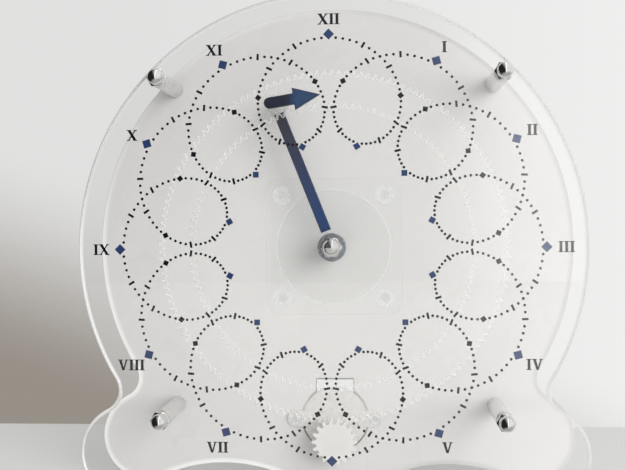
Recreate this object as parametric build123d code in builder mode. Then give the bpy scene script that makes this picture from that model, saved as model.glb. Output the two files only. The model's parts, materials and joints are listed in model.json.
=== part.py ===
from build123d import *
import os
from math import acos, cos, pi, radians, sin, sqrt, tan

# Desk clock with a planetary hand. Millimetres, +Z up, dial towards -Y, origin under the middle.
# Depths are counted from the printed inner face of the front plate towards the back.
# Angles of the hands are clockwise from twelve o'clock.

# Plates: a disc on two round feet, with an arch on each side of a middle foot
plate_diameter = 208.0
plate_thickness = 4.0
foot_span = 208.0
foot_radius = 20.0
waist_radius = 9.0
foot_flat = 2.5
middle_foot_width = 35.0
arch_rise = 8.0

# Sheet for gears and discs, and the fits
sheet_thickness = 3.0
screw_clearance = 0.15
seat_clearance = 0.05
running_clearance = 0.05
end_play = 0.3
hex_sides = 6

# Gears
gear_module = 1.0
pressure_angle = 25.0
backlash = 0.2
addendum_share = 0.8
dedendum_share = 1.05
sun_teeth = 120
planet_teeth = 10
drive_teeth = 150
pinion_teeth = 18
pinion_layers = 2
hand_angle = -21.45

# Corner screws, spacers and cap nuts, M4
corner_count = 4
corner_start = 45.0
corner_inset = 5.0
corner_screw_radius = 2.0
corner_head_radius = 3.8
corner_head_height = 2.2
corner_socket_width = 2.5
corner_socket_depth = 1.3
corner_spacer_radius = 3.5
corner_nut_width = 7.0
corner_nut_hex = 3.2
corner_nut_height = 8.0
corner_dome_radius = 3.25
corner_nut_bore_depth = 5.6
corner_screw_end_gap = 1.6
dome_round_share = 0.96

# Fixed axle with its nuts and washers, M5
axle_radius = 2.5
axle_tail = 2.8
axle_nut_width = 8.0
axle_nut_height = 2.7
axle_washer_radius = 6.0
axle_washer_height = 1.0
hub_cap_gap = 4.5
hub_cap_hex = 3.0
hub_cap_height = 6.5
hub_dome_radius = 3.75
hub_cap_bore_depth = 4.8
hub_cap_bottom_gap = 0.3

# Turning hub
hub_disc_radius = 25.0
hub_bush_radius = 4.0
hub_flange_radius = 6.0
bush_flange_height = 1.0

# Square plate under the axle, with its nylon screws, M4
support_side = 60.0
support_corner = 6.0
support_hole_inset = 7.6
nylon_screw_radius = 2.0
nylon_screw_tail = 1.8
nylon_head_radius = 4.0
nylon_head_height = 2.4
nylon_slot_width = 1.2
nylon_slot_depth = 1.0
nylon_nut_width = 7.0
nylon_nut_height = 3.2

# Bar of the hour hand
bar_width = 4.5
bar_thickness = 2.0
bar_hub_gap = 1.3
bar_end_gap = 0.5

# Pinion on the hand, with its axle, and the arrow
planet_axle_radius = 1.5
planet_bush_radius = 2.5
planet_flange_radius = 3.0
planet_spacer_radius = 2.4
planet_collar_radius = 3.5
planet_collar_height = 3.0
planet_axle_tail = 0.2
arrow_gap = 5.0
arrow_thickness = 3.0
arrow_bore_depth = 2.0
arrow_tail = 1.4
arrow_reach = 19.8
arrow_shaft_width = 4.5
arrow_head_width = 9.2
arrow_head_length = 11.0

# Geared stepper motor
can_radius = 14.0
can_depth = 18.0
can_edge_radius = 1.0
can_clearance = 0.8
shaft_offset = 8.0
shaft_radius = 2.5
shaft_flat_width = 3.0
shaft_flat_runout = 1.0
shaft_recess = 1.0
shaft_seat_depth = 4.0
flange_thickness = 1.0
boss_radius = 4.5
boss_height = 1.5
ear_pitch = 35.0
ear_width = 7.0
ear_hole_radius = 2.1
cover_width = 16.0
cover_top = 17.2
cover_depth = 14.0
cover_clearance = 0.5
motor_screw_radius = 1.5
motor_screw_tail = 0.6
motor_head_radius = 2.8
motor_head_height = 2.0
motor_nut_width = 5.5
motor_nut_height = 2.4

# Circuit board behind the back plate
board_width = 56.0
board_height = 36.0
board_corner = 2.0
board_thickness = 1.6
board_up = 58.0
board_hole_inset = 3.5
board_spacer_height = 3.5
board_spacer_radius = 2.75
board_screw_radius = 1.25
board_screw_end_gap = 0.6
board_head_radius = 2.25
board_head_height = 1.6
module_width = 18.0
module_height = 25.5
module_base = 0.8
module_shield_width = 15.0
module_shield_height = 17.5
module_shield_depth = 2.4
module_shield_inset = 1.2
module_across = -11.0
chip_length = 19.3
chip_width = 6.4
chip_depth = 3.4
chip_across = 11.0
chip_up = 1.0
header_pins = 5
header_pitch = 2.54
header_base = 2.54
pin_width = 0.64
pin_length = 6.0
header_up = 11.0
inlet_width = 8.94
inlet_height = 3.26
inlet_length = 7.35
inlet_wall = 0.35
inlet_mouth_depth = 6.2
inlet_tongue_width = 6.7
inlet_tongue_height = 0.7
inlet_tongue_recess = 0.6
inlet_overhang = 1.0

# Places that follow from the sizes above
plate_radius = plate_diameter / 2
axis_height = plate_radius
foot_x = foot_span / 2 - foot_radius
foot_y = foot_radius - axis_height
corner_circle = plate_radius - corner_inset
corner_hole_radius = corner_screw_radius + screw_clearance
axle_hole_radius = axle_radius + screw_clearance

# Depths along the fixed axle, from the front plate to the back plate
hub_cap_back = hub_cap_gap + hub_cap_height
sun_front = hub_cap_back + axle_washer_height
sun_back = sun_front + sheet_thickness
sun_nut_front = sun_back + axle_washer_height
bush_front = sun_nut_front + axle_nut_height + end_play
drive_front = bush_front + bush_flange_height
drive_back = drive_front + sheet_thickness
disc_back = drive_back + sheet_thickness
seat_nut_front = disc_back + end_play
support_front = seat_nut_front + axle_nut_height
back_front = support_front + sheet_thickness
back_back = back_front + plate_thickness
rear_nut_front = back_back + axle_washer_height
axle_front = hub_cap_back - hub_cap_bore_depth + hub_cap_bottom_gap
axle_back = rear_nut_front + axle_nut_height + axle_tail
corner_screw_length = back_back + plate_thickness + corner_nut_bore_depth - corner_screw_end_gap
nylon_screw_length = sheet_thickness + plate_thickness + nylon_nut_height + nylon_screw_tail

# Depths on the hand's pinion and on the motor
arrow_back = arrow_gap + arrow_thickness
collar_front = disc_back + end_play
collar_back = collar_front + planet_collar_height
planet_axle_front = arrow_back - arrow_bore_depth
planet_axle_back = collar_back + planet_axle_tail
flange_front = back_front - flange_thickness
can_back = back_front + can_depth
motor_screw_length = flange_thickness + plate_thickness + motor_nut_height + motor_screw_tail
pinion_back = drive_front + pinion_layers * sheet_thickness
shaft_front = drive_front + shaft_recess
flat_back = pinion_back + shaft_flat_runout
board_front = back_back + board_spacer_height
board_back = board_front + board_thickness
pin_back = board_back + header_base + pin_length
board_screw_length = board_thickness + board_spacer_height - board_screw_end_gap

# The printed face lies where the whole clock is centred from front to back
dial_y = (corner_nut_height + plate_thickness - max(can_back, pin_back)) / 2

# Axes of the pinions, across and up from the middle of the dial
planet_axis_radius = gear_module * (sun_teeth + planet_teeth) / 2
planet_across = planet_axis_radius * sin(radians(hand_angle))
planet_up = planet_axis_radius * cos(radians(hand_angle))
arrow_angle = hand_angle * (1 + sun_teeth / planet_teeth)
motor_drop = gear_module * (drive_teeth + pinion_teeth) / 2
can_drop = motor_drop - shaft_offset


def facing(depth, across=0, up=0, turn=0):
    """Plane that looks to the front, placed from the middle of the dial and turned clockwise."""
    middle = (across, dial_y + depth, axis_height + up)
    rightward = (cos(radians(turn)), 0, -sin(radians(turn)))
    return Plane(origin=middle, x_dir=rightward, z_dir=(0, -1, 0))


def on_corners():
    """Places of the four corner screws."""
    return PolarLocations(corner_circle, corner_count, start_angle=corner_start)


def on_support():
    """Places of the four nylon screws."""
    pitch = support_side - 2 * support_hole_inset
    return GridLocations(pitch, pitch, 2, 2)


def on_ears():
    """Places of the motor's two screws, from the middle of its can."""
    return GridLocations(ear_pitch, 0, 2, 1)


def on_board():
    """Places of the board's four screws, from its middle."""
    across = board_width - 2 * board_hole_inset
    up = board_height - 2 * board_hole_inset
    return GridLocations(across, up, 2, 2)


def plate_outline():
    """Edges of both plates: disc, hollow waist and foot, each tangent to the next, then an arch; mirrored."""
    foot = Vector(foot_x, foot_y)
    disc_to_waist = plate_radius + waist_radius
    foot_to_waist = foot_radius + waist_radius
    along = (disc_to_waist**2 + foot.length**2 - foot_to_waist**2) / (2 * foot.length)
    aside = sqrt(disc_to_waist**2 - along**2)
    waist = foot.normalized() * along + Vector(-foot.Y, foot.X).normalized() * aside
    disc_touch = waist * (plate_radius / disc_to_waist)
    foot_touch = foot + (waist - foot) * (foot_radius / foot_to_waist)
    inward = (foot_touch - waist).normalized() + (disc_touch - waist).normalized()
    waist_middle = waist + inward.normalized() * waist_radius
    arch_start = middle_foot_width / 2
    arch_end = foot_x - foot_flat
    arch_top = ((arch_start + arch_end) / 2, arch_rise - axis_height)
    with BuildLine() as outline:
        Line((0, -axis_height), (arch_start, -axis_height))
        ThreePointArc((arch_start, -axis_height), arch_top, (arch_end, -axis_height))
        Line((arch_end, -axis_height), (foot_x, -axis_height))
        ThreePointArc((foot_x, -axis_height), (foot_x + foot_radius, foot_y), foot_touch)
        ThreePointArc(foot_touch, waist_middle, disc_touch)
        ThreePointArc(disc_touch, (plate_radius, 0), (0, plate_radius))
        mirror(about=Plane.YZ)
    return outline.edges()


def involute(angle):
    """Involute of an angle in radians."""
    return tan(angle) - angle


def gear_profile(teeth, tooth_angle):
    """Toothed outline with involute flanks; one tooth points along tooth_angle, clockwise from up."""
    pitch_radius = gear_module * teeth / 2
    base_radius = pitch_radius * cos(radians(pressure_angle))
    root_radius = pitch_radius - gear_module * dedendum_share
    tip_radius = pitch_radius + gear_module * addendum_share
    half_at_pitch = pi / (2 * teeth) - backlash / (4 * pitch_radius)
    half_at_base = half_at_pitch + involute(radians(pressure_angle))
    flank = []
    for radius in (max(base_radius, root_radius), pitch_radius, tip_radius):
        flank.append((radius, half_at_base - involute(acos(base_radius / radius))))
    if root_radius < base_radius:
        flank.insert(0, (root_radius, half_at_base))
    one_tooth = [(radius, -half) for radius, half in flank]
    one_tooth += [(radius, half) for radius, half in reversed(flank)]
    points = []
    for tooth in range(teeth):
        middle = radians(tooth_angle) + 2 * pi * tooth / teeth
        for radius, turn in one_tooth:
            points.append((radius * sin(middle + turn), radius * cos(middle + turn)))
    Polygon(*points, align=None)


def shaft_section(clearance):
    """Round shaft with two flats, or the bore that fits over it."""
    Circle(shaft_radius + clearance)
    across_flats = shaft_flat_width + 2 * clearance
    Rectangle(across_flats, 2 * (shaft_radius + clearance), mode=Mode.INTERSECT)


# Clear front plate
with BuildPart() as front_plate:
    with BuildSketch(facing(0)):
        make_face(plate_outline())
        with on_corners():
            Circle(corner_hole_radius, mode=Mode.SUBTRACT)
    extrude(amount=plate_thickness)

# White back plate, cut out for the axle, its square plate and the motor
with BuildPart() as back_plate:
    with BuildSketch(facing(back_back)):
        make_face(plate_outline())
        Circle(axle_hole_radius, mode=Mode.SUBTRACT)
        with on_corners():
            Circle(corner_hole_radius, mode=Mode.SUBTRACT)
        with on_support():
            Circle(nylon_screw_radius + screw_clearance, mode=Mode.SUBTRACT)
    extrude(amount=plate_thickness)
    with BuildSketch(facing(back_back, up=-can_drop)):
        Circle(can_radius + can_clearance)
        notch_width = cover_width + 2 * cover_clearance
        notch_top = cover_top + cover_clearance
        Rectangle(notch_width, notch_top, align=(Align.CENTER, Align.MIN))
        with on_ears():
            Circle(motor_screw_radius + screw_clearance)
    extrude(amount=plate_thickness, mode=Mode.SUBTRACT)

# Tube spacers between the plates
with BuildPart() as corner_spacers:
    with BuildSketch(facing(back_front)):
        with on_corners():
            Circle(corner_spacer_radius)
            Circle(corner_hole_radius, mode=Mode.SUBTRACT)
    extrude(amount=back_front)

# Long screws through plates and spacers, heads at the back
with BuildPart() as corner_screws:
    with BuildSketch(facing(back_back + corner_head_height)):
        with on_corners():
            Circle(corner_head_radius)
    extrude(amount=corner_head_height)
    with BuildSketch(facing(back_back)):
        with on_corners():
            Circle(corner_screw_radius)
    extrude(amount=corner_screw_length)
    with BuildSketch(facing(back_back + corner_head_height)):
        with on_corners():
            RegularPolygon(corner_socket_width / 2, hex_sides, major_radius=False)
    extrude(amount=corner_socket_depth, mode=Mode.SUBTRACT)

# Cap nuts on the front plate
with BuildPart() as corner_cap_nuts:
    with BuildSketch(facing(-plate_thickness)):
        with on_corners():
            Circle(corner_dome_radius)
    extrude(amount=corner_nut_height)
    fillet(faces().group_by(Axis.Y)[0].edges(), corner_dome_radius * dome_round_share)
    with BuildSketch(facing(-plate_thickness)):
        with on_corners():
            RegularPolygon(corner_nut_width / 2, hex_sides, major_radius=False)
    extrude(amount=corner_nut_hex)
    with BuildSketch(facing(-plate_thickness)):
        with on_corners():
            Circle(corner_screw_radius + seat_clearance)
    extrude(amount=corner_nut_bore_depth, mode=Mode.SUBTRACT)

# Fixed axle
with BuildPart() as axle:
    with BuildSketch(facing(axle_back)):
        Circle(axle_radius)
    extrude(amount=axle_back - axle_front)

# Three like nuts: behind the sun gear, on the square plate and behind the back plate
with BuildPart() as axle_nuts:
    for nut_front in (sun_nut_front, seat_nut_front, rear_nut_front):
        with BuildSketch(facing(nut_front + axle_nut_height)):
            RegularPolygon(axle_nut_width / 2, hex_sides, major_radius=False)
            Circle(axle_radius + seat_clearance, mode=Mode.SUBTRACT)
        extrude(amount=axle_nut_height)

# Three like washers: both sides of the sun gear and behind the back plate
with BuildPart() as axle_washers:
    for washer_front in (hub_cap_back, sun_back, back_back):
        with BuildSketch(facing(washer_front + axle_washer_height)):
            Circle(axle_washer_radius)
            Circle(axle_hole_radius, mode=Mode.SUBTRACT)
        extrude(amount=axle_washer_height)

# Low cap nut on the end of the axle
with BuildPart() as hub_cap_nut:
    with BuildSketch(facing(hub_cap_back)):
        Circle(hub_dome_radius)
    extrude(amount=hub_cap_height)
    fillet(faces().group_by(Axis.Y)[0].edges(), hub_dome_radius * dome_round_share)
    with BuildSketch(facing(hub_cap_back)):
        RegularPolygon(axle_nut_width / 2, hex_sides, major_radius=False)
    extrude(amount=hub_cap_hex)
    with BuildSketch(facing(hub_cap_back)):
        Circle(axle_radius + seat_clearance)
    extrude(amount=hub_cap_bore_depth, mode=Mode.SUBTRACT)

# Clear square plate that stiffens the axle's seat
with BuildPart() as support_plate:
    with BuildSketch(facing(back_front)):
        RectangleRounded(support_side, support_side, support_corner)
        Circle(axle_hole_radius, mode=Mode.SUBTRACT)
        with on_support():
            Circle(nylon_screw_radius + screw_clearance, mode=Mode.SUBTRACT)
    extrude(amount=sheet_thickness)

# Nylon screws with slotted heads
with BuildPart() as support_screws:
    with BuildSketch(facing(support_front)):
        with on_support():
            Circle(nylon_head_radius)
    extrude(amount=nylon_head_height)
    with BuildSketch(facing(support_front + nylon_screw_length)):
        with on_support():
            Circle(nylon_screw_radius)
    extrude(amount=nylon_screw_length)
    with BuildSketch(facing(support_front - nylon_head_height + nylon_slot_depth)):
        with on_support():
            Rectangle(2 * nylon_head_radius, nylon_slot_width)
    extrude(amount=nylon_slot_depth, mode=Mode.SUBTRACT)

# Nylon nuts behind the back plate
with BuildPart() as support_nuts:
    with BuildSketch(facing(back_back + nylon_nut_height)):
        with on_support():
            RegularPolygon(nylon_nut_width / 2, hex_sides, major_radius=False)
            Circle(nylon_screw_radius + seat_clearance, mode=Mode.SUBTRACT)
    extrude(amount=nylon_nut_height)

# Fixed sun gear, with a tooth towards the hand's pinion
with BuildPart() as sun_gear:
    with BuildSketch(facing(sun_back)):
        gear_profile(sun_teeth, hand_angle)
        Circle(axle_hole_radius, mode=Mode.SUBTRACT)
    extrude(amount=sheet_thickness)

# Drive gear that carries the hand, with a tooth towards the motor
with BuildPart() as drive_gear:
    with BuildSketch(facing(drive_back)):
        gear_profile(drive_teeth, 180)
        Circle(hub_bush_radius + seat_clearance, mode=Mode.SUBTRACT)
        with Locations((planet_across, planet_up)):
            Circle(planet_bush_radius + seat_clearance, mode=Mode.SUBTRACT)
    extrude(amount=sheet_thickness)

# Clear disc behind the drive gear
with BuildPart() as hub_disc:
    with BuildSketch(facing(disc_back)):
        Circle(hub_disc_radius)
        Circle(hub_bush_radius + seat_clearance, mode=Mode.SUBTRACT)
    extrude(amount=sheet_thickness)

# Flanged bush that runs on the fixed axle
with BuildPart() as hub_bush:
    with BuildSketch(facing(disc_back)):
        Circle(hub_bush_radius)
    extrude(amount=disc_back - bush_front)
    with BuildSketch(facing(drive_front)):
        Circle(hub_flange_radius)
    extrude(amount=bush_flange_height)
    with BuildSketch(facing(disc_back)):
        Circle(axle_radius + running_clearance)
    extrude(amount=disc_back - bush_front, mode=Mode.SUBTRACT)

# Blue bar on the drive gear, from the hub to the pinion
bar_start = hub_flange_radius + bar_hub_gap
bar_end = planet_axis_radius - planet_flange_radius - bar_end_gap
with BuildPart() as hour_bar:
    with BuildSketch(facing(drive_front, turn=hand_angle)):
        with Locations((0, bar_start)):
            Rectangle(bar_width, bar_end - bar_start, align=(Align.CENTER, Align.MIN))
    extrude(amount=bar_thickness)

# Flanged bush of the pinion's axle, through the drive gear
with BuildPart() as planet_bush:
    with BuildSketch(facing(disc_back, planet_across, planet_up)):
        Circle(planet_bush_radius)
    extrude(amount=disc_back - bush_front)
    with BuildSketch(facing(drive_front, planet_across, planet_up)):
        Circle(planet_flange_radius)
    extrude(amount=bush_flange_height)
    with BuildSketch(facing(disc_back, planet_across, planet_up)):
        Circle(planet_axle_radius + running_clearance)
    extrude(amount=disc_back - bush_front, mode=Mode.SUBTRACT)

# Pinion of the hand, with a gap towards the sun gear
with BuildPart() as planet_gear:
    with BuildSketch(facing(sun_back, planet_across, planet_up)):
        gear_profile(planet_teeth, hand_angle + 180 + 180 / planet_teeth)
        Circle(planet_axle_radius + seat_clearance, mode=Mode.SUBTRACT)
    extrude(amount=sheet_thickness)

# Axle of the pinion, from the arrow to the collar
with BuildPart() as planet_axle:
    with BuildSketch(facing(planet_axle_back, planet_across, planet_up)):
        Circle(planet_axle_radius)
    extrude(amount=planet_axle_back - planet_axle_front)

# Tube between the pinion and its bush
with BuildPart() as planet_spacer:
    with BuildSketch(facing(bush_front - end_play, planet_across, planet_up)):
        Circle(planet_spacer_radius)
        Circle(planet_axle_radius + seat_clearance, mode=Mode.SUBTRACT)
    extrude(amount=bush_front - end_play - sun_back)

# Collar behind the bush
with BuildPart() as planet_collar:
    with BuildSketch(facing(collar_back, planet_across, planet_up)):
        Circle(planet_collar_radius)
        Circle(planet_axle_radius + seat_clearance, mode=Mode.SUBTRACT)
    extrude(amount=planet_collar_height)

# Arrow with a round tail, bored from behind for the axle
with BuildPart() as arrow:
    arrow_plane = facing(arrow_back, planet_across, planet_up, arrow_angle)
    with BuildSketch(arrow_plane):
        half_shaft = arrow_shaft_width / 2
        half_head = arrow_head_width / 2
        barb = arrow_reach - arrow_head_length
        with BuildLine():
            Polyline(
                (half_shaft, -arrow_tail),
                (half_shaft, barb),
                (half_head, barb),
                (0, arrow_reach),
                (-half_head, barb),
                (-half_shaft, barb),
                (-half_shaft, -arrow_tail),
            )
            ThreePointArc(
                (-half_shaft, -arrow_tail),
                (0, -arrow_tail - half_shaft),
                (half_shaft, -arrow_tail),
            )
        make_face()
    extrude(amount=arrow_thickness)
    with BuildSketch(arrow_plane):
        Circle(planet_axle_radius + seat_clearance)
    extrude(amount=arrow_bore_depth, mode=Mode.SUBTRACT)

# Motor front with two ears and a boss round the shaft
with BuildPart() as motor_flange:
    with BuildSketch(facing(back_front, up=-can_drop)):
        Circle(can_radius)
        SlotOverall(ear_pitch + ear_width, ear_width)
        with on_ears():
            Circle(ear_hole_radius, mode=Mode.SUBTRACT)
    extrude(amount=flange_thickness)
    with BuildSketch(facing(flange_front, up=-motor_drop)):
        Circle(boss_radius)
    extrude(amount=boss_height)
    with BuildSketch(facing(back_front, up=-motor_drop)):
        Circle(shaft_radius + running_clearance)
    extrude(amount=flange_thickness + boss_height, mode=Mode.SUBTRACT)

# Sealed can, with the seat of the shaft
with BuildPart() as motor_can:
    with BuildSketch(facing(can_back, up=-can_drop)):
        Circle(can_radius)
    extrude(amount=can_depth)
    fillet(faces().sort_by(Axis.Y)[-1].edges(), can_edge_radius)
    with BuildSketch(facing(back_front + shaft_seat_depth, up=-motor_drop)):
        Circle(shaft_radius + running_clearance)
    extrude(amount=shaft_seat_depth, mode=Mode.SUBTRACT)

# Cover over the coil's wires, on top of the can
with BuildPart() as motor_cover:
    with BuildSketch(facing(back_front + cover_depth, up=-can_drop)):
        Rectangle(cover_width, cover_top, align=(Align.CENTER, Align.MIN))
        Circle(can_radius + seat_clearance, mode=Mode.SUBTRACT)
    extrude(amount=cover_depth)

# Output shaft with two flats
with BuildPart() as motor_shaft:
    with BuildSketch(facing(back_front + shaft_seat_depth, up=-motor_drop)):
        Circle(shaft_radius)
    extrude(amount=back_front + shaft_seat_depth - flat_back)
    with BuildSketch(facing(flat_back, up=-motor_drop)):
        shaft_section(0)
    extrude(amount=flat_back - shaft_front)

# Pinion on the motor, with a gap towards the drive gear
with BuildPart() as motor_pinion:
    with BuildSketch(facing(pinion_back, up=-motor_drop)):
        gear_profile(pinion_teeth, 180 / pinion_teeth)
    extrude(amount=pinion_back - drive_front)
    with BuildSketch(facing(pinion_back, up=-motor_drop)):
        shaft_section(seat_clearance)
    extrude(amount=pinion_back - drive_front, mode=Mode.SUBTRACT)

# Screws through the motor's ears
with BuildPart() as motor_screws:
    with BuildSketch(facing(flange_front, up=-can_drop)):
        with on_ears():
            Circle(motor_head_radius)
    extrude(amount=motor_head_height)
    with BuildSketch(facing(flange_front + motor_screw_length, up=-can_drop)):
        with on_ears():
            Circle(motor_screw_radius)
    extrude(amount=motor_screw_length)

# Nuts of the motor's screws
with BuildPart() as motor_nuts:
    with BuildSketch(facing(back_back + motor_nut_height, up=-can_drop)):
        with on_ears():
            RegularPolygon(motor_nut_width / 2, hex_sides, major_radius=False)
            Circle(motor_screw_radius + seat_clearance, mode=Mode.SUBTRACT)
    extrude(amount=motor_nut_height)

# Circuit board on four spacers
with BuildPart() as controller_board:
    with BuildSketch(facing(board_back, up=board_up)):
        RectangleRounded(board_width, board_height, board_corner)
        with on_board():
            Circle(board_screw_radius + screw_clearance, mode=Mode.SUBTRACT)
    extrude(amount=board_thickness)

# Tube spacers of the board
with BuildPart() as board_spacers:
    with BuildSketch(facing(board_front, up=board_up)):
        with on_board():
            Circle(board_spacer_radius)
            Circle(board_screw_radius + seat_clearance, mode=Mode.SUBTRACT)
    extrude(amount=board_spacer_height)

# Screws of the board, heads at the back
with BuildPart() as board_screws:
    with BuildSketch(facing(board_back + board_head_height, up=board_up)):
        with on_board():
            Circle(board_head_radius)
    extrude(amount=board_head_height)
    with BuildSketch(facing(board_back, up=board_up)):
        with on_board():
            Circle(board_screw_radius)
    extrude(amount=board_screw_length)

# Processor module: small board with a metal shield
with BuildPart() as processor_module:
    with BuildSketch(facing(board_back + module_base, module_across, board_up)):
        Rectangle(module_width, module_height)
    extrude(amount=module_base)
    shield_up = (module_shield_height - module_height) / 2 + module_shield_inset
    shield_back = board_back + module_base + module_shield_depth
    with BuildSketch(facing(shield_back, module_across, board_up + shield_up)):
        Rectangle(module_shield_width, module_shield_height)
    extrude(amount=module_shield_depth)

# Driver chip of the motor
with BuildPart() as driver_chip:
    with BuildSketch(facing(board_back + chip_depth, chip_across, board_up + chip_up)):
        Rectangle(chip_length, chip_width)
    extrude(amount=chip_depth)

# Pin header for the motor's lead
with BuildPart() as motor_header:
    with BuildSketch(facing(board_back + header_base, chip_across, board_up + header_up)):
        Rectangle(header_pins * header_pitch, header_base)
    extrude(amount=header_base)
    with BuildSketch(facing(pin_back, chip_across, board_up + header_up)):
        with GridLocations(header_pitch, 0, header_pins, 1):
            Rectangle(pin_width, pin_width)
    extrude(amount=pin_length)

# Power inlet at the lower edge of the board, open downwards
inlet_y = dial_y + board_back + inlet_height / 2
inlet_z = axis_height + board_up - board_height / 2 - inlet_overhang
inlet_tongue_length = inlet_mouth_depth - inlet_tongue_recess
with BuildPart() as power_inlet:
    with BuildSketch(Plane(origin=(chip_across, inlet_y, inlet_z))):
        SlotOverall(inlet_width, inlet_height)
    extrude(amount=inlet_length)
    with BuildSketch(Plane(origin=(chip_across, inlet_y, inlet_z))):
        SlotOverall(inlet_width - 2 * inlet_wall, inlet_height - 2 * inlet_wall)
    extrude(amount=inlet_mouth_depth, mode=Mode.SUBTRACT)
    with BuildSketch(Plane(origin=(chip_across, inlet_y, inlet_z + inlet_tongue_recess))):
        Rectangle(inlet_tongue_width, inlet_tongue_height)
    extrude(amount=inlet_tongue_length)

pieces = {
    "front_plate": front_plate,
    "back_plate": back_plate,
    "corner_spacers": corner_spacers,
    "corner_screws": corner_screws,
    "corner_cap_nuts": corner_cap_nuts,
    "axle": axle,
    "axle_nuts": axle_nuts,
    "axle_washers": axle_washers,
    "hub_cap_nut": hub_cap_nut,
    "support_plate": support_plate,
    "support_screws": support_screws,
    "support_nuts": support_nuts,
    "sun_gear": sun_gear,
    "drive_gear": drive_gear,
    "hub_disc": hub_disc,
    "hub_bush": hub_bush,
    "hour_bar": hour_bar,
    "planet_bush": planet_bush,
    "planet_gear": planet_gear,
    "planet_axle": planet_axle,
    "planet_spacer": planet_spacer,
    "planet_collar": planet_collar,
    "arrow": arrow,
    "motor_flange": motor_flange,
    "motor_can": motor_can,
    "motor_cover": motor_cover,
    "motor_shaft": motor_shaft,
    "motor_pinion": motor_pinion,
    "motor_screws": motor_screws,
    "motor_nuts": motor_nuts,
    "controller_board": controller_board,
    "board_spacers": board_spacers,
    "board_screws": board_screws,
    "processor_module": processor_module,
    "driver_chip": driver_chip,
    "motor_header": motor_header,
    "power_inlet": power_inlet,
}
os.makedirs("parts", exist_ok=True)
for name, piece in pieces.items():
    piece.part.label = name
    export_step(piece.part, f"parts/{name}.step")
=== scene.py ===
import json
from math import acos, atan2, cos, hypot, pi, radians, sin, sqrt, tan

import bmesh
import bpy
import numpy as np
from bpy.props import FloatProperty, FloatVectorProperty, IntProperty, PointerProperty
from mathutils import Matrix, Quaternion, Vector
from mathutils.geometry import tessellate_polygon


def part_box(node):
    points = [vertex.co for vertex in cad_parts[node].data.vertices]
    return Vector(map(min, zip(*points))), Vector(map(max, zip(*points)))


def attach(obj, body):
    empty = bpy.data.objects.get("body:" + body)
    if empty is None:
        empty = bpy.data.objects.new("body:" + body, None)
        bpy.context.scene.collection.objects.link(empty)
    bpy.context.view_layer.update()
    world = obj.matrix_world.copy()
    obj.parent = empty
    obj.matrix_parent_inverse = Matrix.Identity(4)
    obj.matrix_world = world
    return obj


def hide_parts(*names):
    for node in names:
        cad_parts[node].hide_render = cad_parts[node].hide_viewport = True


bl_info = {
    "name": "Planetary desk clock",
    "version": (1, 0, 0),
    "blender": (4, 5, 0),
    "location": "View3D > Sidebar > Clock",
    "description": "Dresses the desk clock of clear and white sheet with its dial, hardware and finishes",
    "category": "Object",
}

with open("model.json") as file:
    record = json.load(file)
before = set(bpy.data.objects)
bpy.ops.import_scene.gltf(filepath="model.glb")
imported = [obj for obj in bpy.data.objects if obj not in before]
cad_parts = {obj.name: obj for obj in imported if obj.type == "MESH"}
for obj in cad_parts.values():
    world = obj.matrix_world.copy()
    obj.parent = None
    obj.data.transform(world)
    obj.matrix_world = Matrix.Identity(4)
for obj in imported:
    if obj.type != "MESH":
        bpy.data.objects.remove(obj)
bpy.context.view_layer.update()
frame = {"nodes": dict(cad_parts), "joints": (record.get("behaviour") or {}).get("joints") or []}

# Places that the frame gives: joint axes, and the front and back of a node
JOINT_AT = {joint["name"]: np.array(joint["pos_m"]) for joint in frame["joints"]}
HUB = JOINT_AT["hand_turn"]
PLANET = JOINT_AT["arrow_turn"] - HUB
HAND_ANGLE = atan2(PLANET[0], PLANET[2])
HAND_RADIUS = hypot(PLANET[0], PLANET[2])
# Turns of the arrow in the room, and hours and minutes on the dial, for one turn of the bar
TURNS_OF_ARROW = 13
HOURS = 12
MINUTES = 720
# Faces that look this squarely along the depth stay flat, so that light passes straight through sheet
FLAT = 0.9999
# Faces that meet more steeply than this keep a sharp edge, and points closer than this are one
SHARP_ANGLE = radians(28.0)
MERGE_DISTANCE = 1e-8
# Refraction of the clear materials
ACRYLIC_IOR = 1.49
NYLON_IOR = 1.53


def front_of(node):
    """Front of a node, along the clock's depth."""
    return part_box(node)[0].y


def back_of(node):
    """Back of a node, along the clock's depth."""
    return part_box(node)[1].y


def depths(node):
    """Front and back of a node, along the clock's depth."""
    return front_of(node), back_of(node)


def length(name, description, metres):
    """A size that a user can set, in metres."""
    return FloatProperty(
        name=name, description=description, default=metres, min=0.0, precision=5, unit="LENGTH"
    )


def share(name, description, amount):
    """A share from 0 to 1 that a user can set."""
    return FloatProperty(
        name=name, description=description, default=amount, min=0.0, max=1.0, subtype="FACTOR"
    )


def count(name, description, number):
    """A number of copies or sides that a user can set."""
    return IntProperty(name=name, description=description, default=number, min=1)


def number(name, description, amount):
    """A plain number that a user can set."""
    return FloatProperty(name=name, description=description, default=amount)


def watts(name, description, amount):
    """A lamp's power that a user can set."""
    return FloatProperty(name=name, description=description, default=amount, unit="POWER")


def degrees(name, description, amount):
    """An angle that a user can set, written in degrees."""
    return FloatProperty(name=name, description=description, default=radians(amount), subtype="ANGLE")


def point(name, description, *metres):
    """A place that a user can set, in metres."""
    return FloatVectorProperty(name=name, description=description, default=metres, unit="LENGTH")


def colour(name, description, red, green, blue):
    """A colour that a user can set."""
    return FloatVectorProperty(
        name=name, description=description, default=(red, green, blue),
        size=3, min=0.0, max=1.0, subtype="COLOR",
    )


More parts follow.
